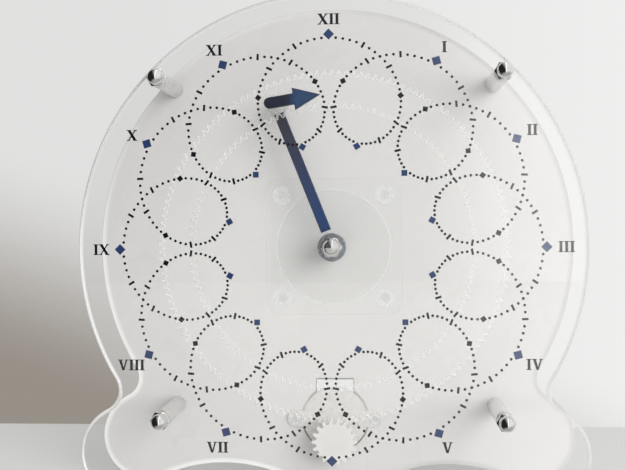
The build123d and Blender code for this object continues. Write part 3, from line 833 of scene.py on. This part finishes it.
def rounded_square(side, corner):
    """A square with round corners, anticlockwise from its right side."""
    reach = side / 2 - corner
    middles = np.array(((reach, reach), (-reach, reach), (-reach, -reach), (reach, -reach)))
    turns = np.arange(4) * pi / 2
    quarters = list(zip(middles, turns))
    ends = middles + corner * np.stack((np.cos(turns + pi / 2), np.sin(turns + pi / 2)), 1)
    arcs = [arc(middle, corner, turn, turn + pi / 2, radians(9.0)) for middle, turn in quarters]
    return np.concatenate([part for pair in zip(arcs, [end[None] for end in ends]) for part in pair])


def hide_from_lamps(piece):
    """Lets lamps and scattered light through a clear piece, as thin clear sheet does."""
    piece.visible_shadow = False
    piece.visible_diffuse = False


class CLOCK_OT_front_plate(bpy.types.Operator):
    """Clear front plate with its four screw holes"""

    bl_idname = "clock.front_plate"
    bl_label = "Front plate"

    def execute(self, context):
        sizes = context.scene.clock_plates
        shape = Shape()
        holes = [ring(place, sizes.corner_hole) for place in corner_places()]
        cut_sheet(shape, plate_outline(), holes, *depths("front_plate"), sizes.polish, bows=4)
        made = shape.piece("clear_front_plate", clear_sheet(), "root", "clear_acrylic", "front_plate")
        hide_from_lamps(made)
        return {"FINISHED"}


def motor_cut_out():
    """The motor's hole, anticlockwise: a circle open at the top into a square notch."""
    sizes = bpy.context.scene.clock_plates
    lo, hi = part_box("motor_can")
    middle = (0.0, (lo.z + hi.z) / 2 - HUB[2])
    start = acos(sizes.notch_width / 2 / sizes.motor_hole)
    round_part = arc(middle, sizes.motor_hole, pi - start, 2 * pi + start)
    right = (sizes.notch_width / 2, middle[1] + sizes.motor_hole * sin(start))
    top = middle[1] + sizes.notch_top
    corners = [right, (sizes.notch_width / 2, top), (-sizes.notch_width / 2, top)]
    return np.concatenate((round_part, corners)), middle


class CLOCK_OT_back_plate(bpy.types.Operator):
    """White back plate with the motor's cut-out and the screw holes"""

    bl_idname = "clock.back_plate"
    bl_label = "Back plate"

    def execute(self, context):
        sizes = context.scene.clock_plates
        cut_out, can = motor_cut_out()
        holes = [ring(place, sizes.corner_hole) for place in (*corner_places(), *nylon_places())]
        holes += [ring((x, can[1]), sizes.ear_hole) for x in (-sizes.ear_pitch / 2, sizes.ear_pitch / 2)]
        holes += [ring((0.0, 0.0), sizes.axle_hole), cut_out]
        shape = Shape()
        cut_sheet(shape, plate_outline(), holes, *depths("back_plate"), sizes.ease, sizes.rim)
        shape.piece("white_back_plate", white_sheet(), "root", "white_acrylic", "back_plate")
        return {"FINISHED"}


def stamp(shape, outline, places, front, back, angles=0.0):
    """Copies of a flat outline, each turned clockwise and moved to its place, as thin prisms."""
    sides = len(outline)
    flat = turned(np.asarray(outline)[None], np.reshape(angles, (-1, 1))) + np.asarray(places)[:, None]
    points = np.concatenate((stand(flat, front), stand(flat, back)), axis=1)
    start = np.arange(len(flat))[:, None] * 2 * sides
    around = np.arange(sides)
    ahead = np.roll(around, -1)
    walls = np.stack((around, around + sides, ahead + sides, ahead), axis=-1)
    wall_faces = (start[:, None] + walls[None]).reshape(-1, 4)
    shape.add(points, [start + around, start + sides + around[::-1], wall_faces])


def square(side):
    """A square with one corner pointing up."""
    reach = side / sqrt(2.0)
    return np.array(((reach, 0.0), (0.0, reach), (-reach, 0.0), (0.0, -reach)))


def bar(width, height):
    """An upright rectangle about its middle."""
    return np.array(((width, -height), (width, height), (-width, height), (-width, -height))) / 2


def ink_depths():
    """The print on the front plate's inner face: its free side, then its side on the sheet."""
    sizes = bpy.context.scene.clock_dial
    face = back_of("front_plate") + sizes.ink_gap
    return face + sizes.ink_height, face


class CLOCK_OT_dial_marks(bpy.types.Operator):
    """Dots, ticks and squares of the 720 minutes, along the looped path that the arrow points at:
    hand radius * (sin a, cos a) + loop radius * (sin 13 a, cos 13 a), with a the angle of the bar"""

    bl_idname = "clock.dial_marks"
    bl_label = "Dial marks"

    def execute(self, context):
        sizes = context.scene.clock_dial
        tints = context.scene.clock_colours
        minute = np.arange(MINUTES)
        hand = 2 * pi * minute / MINUTES
        heading = hand * TURNS_OF_ARROW
        across = HAND_RADIUS * np.sin(hand) + sizes.arrow_radius * np.sin(heading)
        up = HAND_RADIUS * np.cos(hand) + sizes.arrow_radius * np.cos(heading)
        places = np.column_stack((across, up))
        hours = minute % 60 == 0
        halves = minute % 60 == 30
        quarters = minute % 30 == 15
        shifted = places + sizes.mark_shift * np.column_stack((np.sin(heading), np.cos(heading)))
        ticks = (minute % 5 == 0) & ~(hours | halves | quarters)
        dots = minute % 5 != 0
        dark, blue = Shape(), Shape()
        marks = (
            (dark, ring((0.0, 0.0), sizes.dot / 2, sizes.dot_sides), places, dots),
            (dark, bar(sizes.tick_width, sizes.tick_length), places, ticks),
            (dark, square(sizes.quarter_side), places, quarters),
            (blue, square(sizes.half_side), shifted, halves),
            (blue, square(sizes.hour_side), shifted, hours),
        )
        for shape, outline, spots, chosen in marks:
            stamp(shape, outline, spots[chosen], *ink_depths(), heading[chosen])
        dark.piece("minute_marks", print_ink("dark_ink", tints.ink), "root", "navy_acrylic")
        blue.piece("hour_marks", print_ink("blue_ink", tints.blue_ink), "root", "blue_acrylic")
        return {"FINISHED"}


# Height of a serif and gap between letters, in shares of the letter height
SERIF_SHARE = 0.075
LETTER_GAP_SHARE = 0.05


def serif(left, right, top):
    """A flat serif at the foot or the head of a letter."""
    low = 1.0 - SERIF_SHARE if top else 0.0
    return ((left, low), (right, low), (right, low + SERIF_SHARE), (left, low + SERIF_SHARE))


# Roman letters in shares of the letter height: width, then the strokes' quadrilaterals
LETTER_SHARES = {
    "I": (0.46, [
        ((0.105, 0.0), (0.355, 0.0), (0.355, 1.0), (0.105, 1.0)),
        serif(0.0, 0.46, False), serif(0.0, 0.46, True),
    ]),
    "V": (0.98, [
        ((0.39, 0.0), (0.59, 0.0), (0.335, 1.0), (0.065, 1.0)),
        ((0.45, 0.0), (0.59, 0.0), (0.88, 1.0), (0.74, 1.0)),
        serif(0.0, 0.42, True), serif(0.64, 0.98, True),
    ]),
    "X": (1.0, [
        ((0.67, 0.0), (0.955, 0.0), (0.335, 1.0), (0.045, 1.0)),
        ((0.085, 0.0), (0.215, 0.0), (0.895, 1.0), (0.765, 1.0)),
        serif(0.0, 0.31, False), serif(0.58, 1.0, False), serif(0.0, 0.42, True), serif(0.66, 0.98, True),
    ]),
}
NUMERALS = ("XII", "I", "II", "III", "IV", "V", "VI", "VII", "VIII", "IX", "X", "XI")


class CLOCK_OT_numerals(bpy.types.Operator):
    """Upright Roman numerals round the dial, built from strokes"""

    bl_idname = "clock.numerals"
    bl_label = "Numerals"

    def execute(self, context):
        sizes = context.scene.clock_dial
        shape = Shape()
        for hour, word in enumerate(NUMERALS):
            turn = 2 * pi * hour / HOURS
            widths = [LETTER_SHARES[letter][0] for letter in word]
            total = sum(widths) + LETTER_GAP_SHARE * (len(word) - 1)
            push = sizes.numeral_push * total / 2 * sizes.numeral_height * abs(sin(turn))
            middle = (sizes.numeral_radius + push) * np.array((sin(turn), cos(turn)))
            pen = -total / 2
            for letter, width in zip(word, widths):
                for stroke in LETTER_SHARES[letter][1]:
                    flat = (np.array(stroke) + (pen, -0.5)) * sizes.numeral_height
                    stamp(shape, flat, [middle], *ink_depths())
                pen += width + LETTER_GAP_SHARE
        shape.piece("hour_numerals", bpy.data.materials["dark_ink"], "root", "navy_acrylic")
        return {"FINISHED"}


class CLOCK_OT_corner_fixings(bpy.types.Operator):
    """Tube spacers and cap nuts on the four corner screws"""

    bl_idname = "clock.corner_fixings"
    bl_label = "Corner fixings"

    def execute(self, context):
        sizes = context.scene.clock_hardware
        plates = context.scene.clock_plates
        tints = context.scene.clock_colours
        tubes, nuts = Shape(), Shape()
        seat, tip = back_of("corner_cap_nuts"), front_of("corner_cap_nuts")
        for place in corner_places():
            tube(
                tubes, place, plates.corner_hole, sizes.spacer_radius, *depths("corner_spacers"),
                sizes.edge, sizes.sides,
            )
            cap_nut(
                nuts, place, sizes.corner_nut_width, sizes.corner_nut_hex, sizes.corner_dome, seat, tip,
                plates.corner_hole,
            )
        satin = plated("satin_tube", tints.tube, 0.36)
        tubes.piece("tube_spacers", satin, "root", "bright_nickel", "corner_spacers")
        bright = plated("bright_nickel", tints.nickel, 0.07)
        nuts.piece("cap_nuts", bright, "root", "bright_nickel", "corner_cap_nuts")
        return {"FINISHED"}


class CLOCK_OT_hub(bpy.types.Operator):
    """Cap nut and washers of the fixed axle"""

    bl_idname = "clock.hub"
    bl_label = "Hub"

    def execute(self, context):
        sizes = context.scene.clock_hardware
        plates = context.scene.clock_plates
        nut, washers = Shape(), Shape()
        seat, tip = back_of("hub_cap_nut"), front_of("hub_cap_nut")
        cap_nut(
            nut, (0.0, 0.0), sizes.hub_nut_width, sizes.hub_nut_hex, sizes.hub_dome,
            seat, tip, plates.axle_hole,
        )
        nut.piece("hub_nut", bpy.data.materials["bright_nickel"], "root", "bright_nickel", "hub_cap_nut")
        last = back_of("axle_washers") - sizes.washer_height
        for front in (front_of("axle_washers"), back_of("sun_gear"), last):
            tube(
                washers, (0.0, 0.0), plates.axle_hole, sizes.washer_radius,
                front, front + sizes.washer_height, sizes.edge, sizes.sides,
            )
        steel = plated("blue_zinc", context.scene.clock_colours.washer, 0.22, metal=0.85)
        washers.piece("washers", steel, "root", "plain_steel", "axle_washers")
        return {"FINISHED"}


def gear_outline(teeth, angle, middle=(0.0, 0.0)):
    """A toothed outline, anticlockwise, one tooth towards an angle clockwise from up. Flanks are involutes:
    half angle = half angle at the base - (tan a - a), with cos a = base radius / radius."""
    sizes = bpy.context.scene.clock_clear
    pitch = sizes.module * teeth / 2
    base = pitch * cos(sizes.pressure)
    root = pitch - sizes.root_depth
    radii = np.array((max(base, root), pitch, pitch + sizes.tip_height))
    lean = np.arccos(np.minimum(1.0, base / radii))
    half_at_base = pi / (2 * teeth) - sizes.backlash / (4 * pitch) + tan(sizes.pressure) - sizes.pressure
    half = half_at_base - np.tan(lean) + lean
    if root < base:
        radii = np.append(root, radii)
        half = np.append(half_at_base, half)
    middles = angle + 2 * pi * np.arange(teeth) / teeth
    turns = (middles[:, None] + np.append(-half, half[::-1])).ravel()
    reach = np.tile(np.append(radii, radii[::-1]), teeth)
    return (np.column_stack((reach * np.sin(turns), reach * np.cos(turns))) + middle)[::-1]


def clear_piece(name, node, film, body, outline, holes, ease, gaps=(0.0, 0.0), bows=1):
    """A clear sheet in a node's place, with small gaps before and behind it."""
    shape = Shape()
    front, back = depths(node)
    cut_sheet(shape, outline, holes, front + gaps[0], back - gaps[1], ease, bows=bows)
    hide_from_lamps(shape.piece(name, film, body, "clear_acrylic", node))


class CLOCK_OT_wheels(bpy.types.Operator):
    """Clear wheels and the hand's pinion, and the clear disc and square plate behind them"""

    bl_idname = "clock.wheels"
    bl_label = "Clear wheels"

    def execute(self, context):
        sizes = context.scene.clock_clear
        plates = context.scene.clock_plates
        wheel_film = clear_film("clear_wheel", haze=0.006, frosting=0.56)
        hazy_film = clear_film("hazy_wheel", haze=0.06, frosting=0.56)
        disc_film = clear_film("clear_disc", haze=0.03, frosting=0.45)
        square_film = clear_film("clear_square", haze=0.01, frosting=0.12)
        planet = np.array((PLANET[0], PLANET[2]))
        axle = ring((0.0, 0.0), plates.axle_hole)
        bush = ring((0.0, 0.0), sizes.disc_hole)
        sun = gear_outline(sizes.sun_teeth, HAND_ANGLE)
        clear_piece("clear_sun_wheel", "sun_gear", wheel_film, "root", sun, [axle], sizes.wheel_ease)
        drive = gear_outline(sizes.drive_teeth, pi)
        holes = [bush, ring(planet, sizes.bush_hole)]
        clear_piece(
            "clear_drive_wheel", "drive_gear", hazy_film, "carrier", drive, holes, sizes.wheel_ease
        )
        pinion = gear_outline(sizes.planet_teeth, HAND_ANGLE + pi + pi / sizes.planet_teeth, planet)
        holes = [ring(planet, sizes.planet_hole, SMALL_HOLE_SIDES)]
        clear_piece(
            "clear_hand_pinion", "planet_gear", wheel_film, "planet", pinion, holes, sizes.pinion_ease
        )
        round_edge = ring((0.0, 0.0), sizes.disc_radius, DISC_SIDES)
        gaps = (sizes.gap, 0.0)
        clear_piece(
            "clear_hub_disc", "hub_disc", disc_film, "carrier", round_edge, [bush], sizes.disc_ease,
            gaps, bows=4,
        )
        outline = rounded_square(sizes.square_side, sizes.square_corner)
        holes = [axle, *(ring(place, plates.corner_hole) for place in nylon_places())]
        clear_piece(
            "clear_square_plate", "support_plate", square_film, "root", outline, holes, sizes.ease,
            gaps[::-1], bows=2,
        )
        return {"FINISHED"}


def paint(node, material):
    """Gives a node of the frame its finish."""
    for slot in frame["nodes"][node].material_slots:
        slot.material = material


# Shares of the arrow's box, from left to right, between which its tone changes from shaft to head
HEAD_TONE_SHARES = (0.38, 0.6)


class CLOCK_OT_hands(bpy.types.Operator):
    """Blue hour bar and dark arrow"""

    bl_idname = "clock.hands"
    bl_label = "Hands"

    def execute(self, context):
        sizes = context.scene.clock_hands
        tints = context.scene.clock_colours
        middle = (sizes.bar_start + sizes.bar_end) / 2
        outline = bar(sizes.bar_width, sizes.bar_end - sizes.bar_start) + (0.0, middle)
        shape = Shape()
        cut_sheet(shape, turned(outline, HAND_ANGLE), [], *depths("hour_bar"), sizes.ease)
        low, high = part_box("hour_bar")
        # The bar's tone runs from blue to a painted reflection, grey towards its upper, outer end
        blue = tinted_sheet("blue_sheet", tints.bar_blue, tints.bar_painted_reflection, "Z", low.z, high.z)
        shape.piece("blue_bar", blue, "carrier", "blue_acrylic", "hour_bar")
        half_shaft, half_head = sizes.shaft_width / 2, sizes.head_width / 2
        barb = sizes.arrow_reach - sizes.head_length
        right = [(half_shaft, -sizes.arrow_tail), (half_shaft, barb)]
        right += [(half_head, barb), (0.0, sizes.arrow_reach)]
        left = [(-half_head, barb), (-half_shaft, barb)]
        tail = arc((0.0, -sizes.arrow_tail), half_shaft, pi, 2 * pi, radians(6.0))
        outline = turned(np.concatenate((right, left, tail)), HAND_ANGLE * TURNS_OF_ARROW)
        shape = Shape()
        placed = outline + (PLANET[0], PLANET[2])
        cut_sheet(shape, placed, [], *depths("arrow"), sizes.ease)
        low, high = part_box("arrow")
        start, end = (low.x + part * (high.x - low.x) for part in HEAD_TONE_SHARES)
        navy = tinted_sheet("navy_sheet", tints.arrow_navy, tints.arrow_blue, "X", start, end)
        shape.piece("dark_arrow", navy, "planet", "navy_acrylic", "arrow")
        return {"FINISHED"}


STEEL_NODES = (
    "corner_screws", "axle", "axle_nuts", "planet_axle", "planet_collar", "board_screws", "motor_shaft",
    "hub_bush",
)
NYLON_NODES = (
    "support_screws", "support_nuts", "planet_bush", "planet_spacer", "board_spacers", "motor_screws",
    "motor_nuts",
)


class CLOCK_OT_small_parts(bpy.types.Operator):
    """Finish of the axles, nuts, bushes and screws"""

    bl_idname = "clock.small_parts"
    bl_label = "Small parts"

    def execute(self, context):
        steel = plated("zinc_steel", context.scene.clock_colours.steel, 0.28, metal=0.6)
        for node in STEEL_NODES:
            paint(node, steel)
        nylon = translucent_nylon()
        for node in NYLON_NODES:
            paint(node, nylon)
            hide_from_lamps(frame["nodes"][node])
        return {"FINISHED"}


class CLOCK_OT_motor(bpy.types.Operator):
    """Frosted pinion and finish of the geared motor"""

    bl_idname = "clock.motor"
    bl_label = "Motor"

    def execute(self, context):
        tints = context.scene.clock_colours
        paint("motor_flange", plated("pale_zinc", tints.motor, 0.42, metal=0.15))
        paint("motor_can", plated("drawn_steel", tints.can, 0.34, metal=0.85, lines=1.0))
        paint("motor_cover", moulded("white_cover", tints.cover, 0.3, grain_depth=0.000012))
        sizes = context.scene.clock_clear
        at = JOINT_AT["motor_turn"] - HUB
        outline = gear_outline(sizes.motor_teeth, pi / sizes.motor_teeth, (at[0], at[2]))
        shape = Shape()
        cut_sheet(shape, outline, [], *depths("motor_pinion"), sizes.pinion_ease)
        milky = moulded("milky_pinion", tints.milky, 0.3, grain_depth=0.00002)
        shape.piece("frosted_pinion", milky, "motor_output", "clear_acrylic", "motor_pinion")
        return {"FINISHED"}


def middle_of(node):
    """Middle of a node, across and up from the hub."""
    low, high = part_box(node)
    return np.array(((low.x + high.x) / 2 - HUB[0], (low.z + high.z) / 2 - HUB[2]))


def track(shape, points, width, front, back):
    """A strip along straight stretches between points, with round joints."""
    points = np.asarray(points, float)
    runs = np.diff(points, axis=0)
    for start, run in zip(points, runs):
        stretch = bar(width, np.linalg.norm(run))
        stamp(shape, stretch, [start + run / 2], front, back, atan2(run[0], run[1]))
    stamp(shape, ring((0.0, 0.0), width / 2, JOINT_SIDES), points, front, back)


def row_of(copies, pitch):
    """Places along a row, about its middle."""
    return (np.arange(copies) - (copies - 1) / 2) * pitch


# Share of the module's height at which its metal shield starts
SHIELD_SHARE = 0.26


class CLOCK_OT_board(bpy.types.Operator):
    """Finish of the circuit board and what it carries, with tracks, pads and the chip's legs"""

    bl_idname = "clock.board"
    bl_label = "Circuit board"

    def execute(self, context):
        sizes = context.scene.clock_board
        tints = context.scene.clock_colours
        face = back_of("controller_board")
        paint("controller_board", moulded("solder_mask", tints.board, 0.25, grain_depth=0.000004))
        module_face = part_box("processor_module")[1].y
        shield = face + SHIELD_SHARE * (module_face - face)
        paint("processor_module", two_tone("module", shield, tints.black, tints.can))
        pins_start = face + sizes.pitch + sizes.copper
        paint("motor_header", two_tone("pin_header", pins_start, tints.black, tints.gold))
        paint("power_inlet", plated("tin_shell", tints.can, 0.24))
        paint("driver_chip", moulded("black_mould", tints.black, 0.4, grain_depth=0.00001))
        self.tracks(sizes, face, tints)
        self.pads(sizes, face, tints)
        self.legs(sizes, face)
        return {"FINISHED"}

    def tracks(self, sizes, face, tints):
        """Signal tracks from the chip to header and module, and two supply tracks from the inlet."""
        chip, header = middle_of("driver_chip"), middle_of("motor_header")
        module, inlet = middle_of("processor_module"), middle_of("power_inlet")
        top = face + sizes.copper
        legs = row_of(sizes.chip_legs, sizes.pitch)
        signals = sizes.chip_legs // 2
        shape = Shape()
        for across in row_of(sizes.header_pins, sizes.pitch):
            start = chip + (across, sizes.leg_row)
            track(shape, [start, header + (across, 0.0)], sizes.track, face, top)
        for step, across in enumerate(legs[:signals]):
            down = chip + (across, -sizes.leg_row)
            lane = down - (0.0, (signals - step) * 2 * sizes.track)
            edge = np.array((module[0], lane[1]))
            track(shape, [down, lane, edge], sizes.track, face, top)
        for side, across in ((-1.0, legs[0]), (1.0, legs[-1])):
            start = inlet + (side * sizes.supply, 0.0)
            bend = np.array((chip[0] + across, start[1] + sizes.supply))
            corner = start + (0.0, sizes.supply)
            leg = chip + (across, -sizes.leg_row)
            track(shape, [start, corner, bend, leg], sizes.supply, face, top)
        copper = moulded("covered_copper", tints.track, 0.22, grain_depth=0.000004)
        shape.piece("board_tracks", copper, "root", "board_green")

    def pads(self, sizes, face, tints):
        """Soldered pads of header and chip, and pads at the module's sides."""
        chip, header = middle_of("driver_chip"), middle_of("motor_header")
        module = middle_of("processor_module")
        low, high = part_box("processor_module")
        top = face + 2 * sizes.copper
        shape = Shape()
        rows = row_of(sizes.chip_legs, sizes.pitch)
        places = [chip + (across, side * sizes.leg_row) for across in rows for side in (-1.0, 1.0)]
        places += [header + (across, 0.0) for across in row_of(sizes.header_pins, sizes.pitch)]
        stamp(shape, ring((0.0, 0.0), sizes.pad / 2, PAD_SIDES), places, face, top)
        half = (high.x - low.x) / 2
        rise = row_of(sizes.module_pads, 1.5 * sizes.module_pad)
        places = [module + (side * half, up - sizes.pitch) for up in rise for side in (-1.0, 1.0)]
        stamp(shape, bar(2 * sizes.module_pad, sizes.module_pad), places, face, top)
        shape.piece("board_pads", plated("solder", tints.can, 0.3), "root", "motor_steel")

    def legs(self, sizes, face):
        """The chip's legs: a shoulder at half the chip's height and a tip down to the board."""
        chip = middle_of("driver_chip")
        low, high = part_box("driver_chip")
        shoulder = (face + high.y) / 2
        side_face = (high.z - low.z) / 2
        shape = Shape()
        for side in (-1.0, 1.0):
            row = row_of(sizes.chip_legs, sizes.pitch)
            places = [chip + (across, side * sizes.leg_row) for across in row]
            stamp(shape, bar(sizes.leg_tip, sizes.leg_sheet), places, face, shoulder)
            reach = sizes.leg_row - side_face + sizes.leg_sheet
            inner = np.array(places) - (0.0, side * reach / 2)
            stamp(shape, bar(sizes.leg_width, reach), inner, shoulder, shoulder + sizes.leg_sheet)
        shape.piece("chip_legs", bpy.data.materials["solder"], "root", "motor_steel")


class CLOCK_OT_stage(bpy.types.Operator):
    """Pale floor, soft light from the right and from all round, and the camera"""

    bl_idname = "clock.stage"
    bl_label = "Stage"

    def execute(self, context):
        sizes = context.scene.clock_stage
        make_floor(sizes)
        make_light(sizes)
        make_surroundings(sizes)
        make_camera(sizes)
        context.scene.view_settings.view_transform = "Standard"
        return {"FINISHED"}


def make_floor(sizes):
    """A slab carried along the width: flat top, rounded back edge, then down."""
    bow = np.linspace(0.0, pi / 2, 9)
    depth = sizes.floor_back - sizes.floor_round + sizes.floor_round * np.sin(bow)
    drop = sizes.floor_round * (np.cos(bow) - 1.0)
    profile = [(-sizes.floor_front, 0.0), *zip(depth, drop), (sizes.floor_back, -sizes.floor_depth)]
    profile += [(-sizes.floor_front, -sizes.floor_depth), (-sizes.floor_front, 0.0)]
    profile = np.array(profile)
    sides = np.array((-sizes.floor_reach, sizes.floor_reach))
    points = np.empty((len(profile), 2, 3))
    points[..., 0] = sides
    points[..., 1] = profile[:, :1]
    points[..., 2] = profile[:, 1:]
    shape = Shape()
    shape.grid(points, closed=False)
    mesh = shape.mesh("floor")
    finish = new_finish("pale_floor")
    tint = bpy.context.scene.clock_colours.floor
    cloud = finish.noise(3.0, 3.0)
    surface = finish.coated(Base_Color=finish.mix(cloud, tint, toned(tint, 0.95)), Roughness=0.55)
    mesh.materials.append(finish.show(surface))
    floor = into_scene("floor", mesh)
    floor.visible_glossy = False


def face(thing, place, aim, roll=0.0):
    """Puts a lamp or the camera at a place, facing an aim and leaning to the right by a roll."""
    thing.location = place
    thing.rotation_mode = "QUATERNION"
    facing = (Vector(aim) - Vector(place)).to_track_quat("-Z", "Y")
    thing.rotation_quaternion = facing @ Quaternion((0.0, 0.0, 1.0), -roll)


def soft_lamp(name, place, aim, width, height, power):
    """A soft lamp that faces an aim. The camera and gloss don't show it."""
    lamp = bpy.data.lights.new(name, "AREA")
    lamp.shape = "RECTANGLE"
    lamp.size = width
    lamp.size_y = height
    lamp.energy = power
    holder = into_scene(name, lamp)
    face(holder, place, aim)
    holder.visible_camera = False
    holder.visible_glossy = False
    holder.visible_transmission = False
    return holder


def make_light(sizes):
    """A large window on the right, and the light that a table's top throws on the white plate's foot."""
    soft_lamp("window", sizes.window, HUB, sizes.window_width, sizes.window_width, sizes.window_power)
    foot = (sizes.glow[0], 0.0, 0.0)
    glow = soft_lamp(
        "table_glow", sizes.glow, foot, sizes.glow_width, sizes.glow_height, sizes.glow_power
    )
    lit = bpy.data.collections.new("lit_by_table")
    lit.objects.link(bpy.data.objects["white_back_plate"])
    glow.light_linking.receiver_collection = lit


# Tones of the wall behind the clock, and of the room before it that gloss shows
WALL_LEFT = (0.75, 0.75, 0.745)
WALL_RIGHT = (0.90, 0.90, 0.895)
WALL_SHADE = (0.31, 0.28, 0.247)
ROOM_DIM = (0.02, 0.02, 0.022)
ROOM_PALE = (0.85, 0.85, 0.84)
ROOM_WINDOW = (2.0, 2.0, 1.97)
ROOM_BESIDE = (1.0, 1.0, 0.99)
ROOM_FLOOR = (0.5, 0.5, 0.49)
# Share of the wall's shade that clear sheet takes away
CLEARED_SHARE = 0.42


def make_surroundings(sizes):
    """Even light from all round. A pale wall, shaded towards the lower left, shows behind the clock, and
    gloss shows a room before it that darkens from a bright right side to a dim left one."""
    finish = Finish(bpy.data.worlds.new("pale_room"))
    ray = finish.node("ShaderNodeLightPath")
    heading = finish.node("ShaderNodeTexCoord").outputs["Generated"]
    right, away, up = (finish.part(heading, axis) for axis in "XYZ")
    lit = finish.mix(right.over(-0.3, 0.5), WALL_LEFT, WALL_RIGHT)
    wall = finish.mix((up + 0.4 * right).over(-0.291, -0.062), WALL_SHADE, lit)
    room = finish.mix((right + 0.4 * up).over(-0.25, 0.65), ROOM_DIM, ROOM_PALE)
    room = finish.mix(right.over(0.03, 0.17), room, ROOM_WINDOW)
    room = finish.mix(right.over(0.19, 0.26), room, ROOM_BESIDE)
    room = finish.mix((up - 0.3 * right).over(-0.9, -0.4), ROOM_FLOOR, room)
    behind = finish.mix(finish.value(ray, "Is Transmission Ray") * CLEARED_SHARE, wall, lit)
    around = finish.mix(away.over(0.3, 0.7), room, behind)
    shown = finish.mix(finish.value(ray, "Is Camera Ray"), around, wall)
    scattered = finish.value(ray, "Is Diffuse Ray")
    shown = finish.mix(scattered, shown, ROOM_PALE)
    strength = 1.0 - scattered * (1.0 - sizes.ambient)
    background = finish.node("ShaderNodeBackground", {}, {"Color": shown, "Strength": strength})
    bpy.context.scene.world = finish.show(background.outputs[0], "ShaderNodeOutputWorld")


def make_camera(sizes):
    """A camera at the eye that looks at the aim, leaning a little to the right."""
    lens = bpy.data.cameras.new("camera")
    lens.lens = sizes.lens
    camera = into_scene("camera", lens)
    face(camera, sizes.eye, sizes.aim, sizes.roll)
    bpy.context.scene.camera = camera


GROUPS = {
    "clock_plates": ClockPlateSizes,
    "clock_dial": ClockDialSizes,
    "clock_hands": ClockHandSizes,
    "clock_hardware": ClockHardwareSizes,
    "clock_clear": ClockClearSizes,
    "clock_board": ClockBoardSizes,
    "clock_stage": ClockStageSizes,
    "clock_colours": ClockColours,
}
OPERATORS = (
    CLOCK_OT_front_plate,
    CLOCK_OT_back_plate,
    CLOCK_OT_dial_marks,
    CLOCK_OT_numerals,
    CLOCK_OT_corner_fixings,
    CLOCK_OT_hub,
    CLOCK_OT_wheels,
    CLOCK_OT_hands,
    CLOCK_OT_small_parts,
    CLOCK_OT_motor,
    CLOCK_OT_board,
    CLOCK_OT_stage,
)


class CLOCK_PT_pieces(bpy.types.Panel):
    """Lists the clock's pieces"""

    bl_idname = "CLOCK_PT_pieces"
    bl_label = "Desk clock"
    bl_space_type = "VIEW_3D"
    bl_region_type = "UI"
    bl_category = "Clock"

    def draw(self, context):
        for operator in OPERATORS:
            self.layout.operator(operator.bl_idname)


def register():
    for group in GROUPS.values():
        bpy.utils.register_class(group)
    for name, group in GROUPS.items():
        setattr(bpy.types.Scene, name, PointerProperty(type=group))
    for operator in OPERATORS:
        bpy.utils.register_class(operator)
    bpy.utils.register_class(CLOCK_PT_pieces)


def unregister():
    bpy.utils.unregister_class(CLOCK_PT_pieces)
    for operator in reversed(OPERATORS):
        bpy.utils.unregister_class(operator)
    for name in GROUPS:
        delattr(bpy.types.Scene, name)
    for group in reversed(GROUPS.values()):
        bpy.utils.unregister_class(group)


def main():
    """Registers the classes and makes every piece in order."""
    register()
    for operator in OPERATORS:
        family, name = operator.bl_idname.split(".")
        getattr(getattr(bpy.ops, family), name)()


if __name__ == "__main__":
    main()
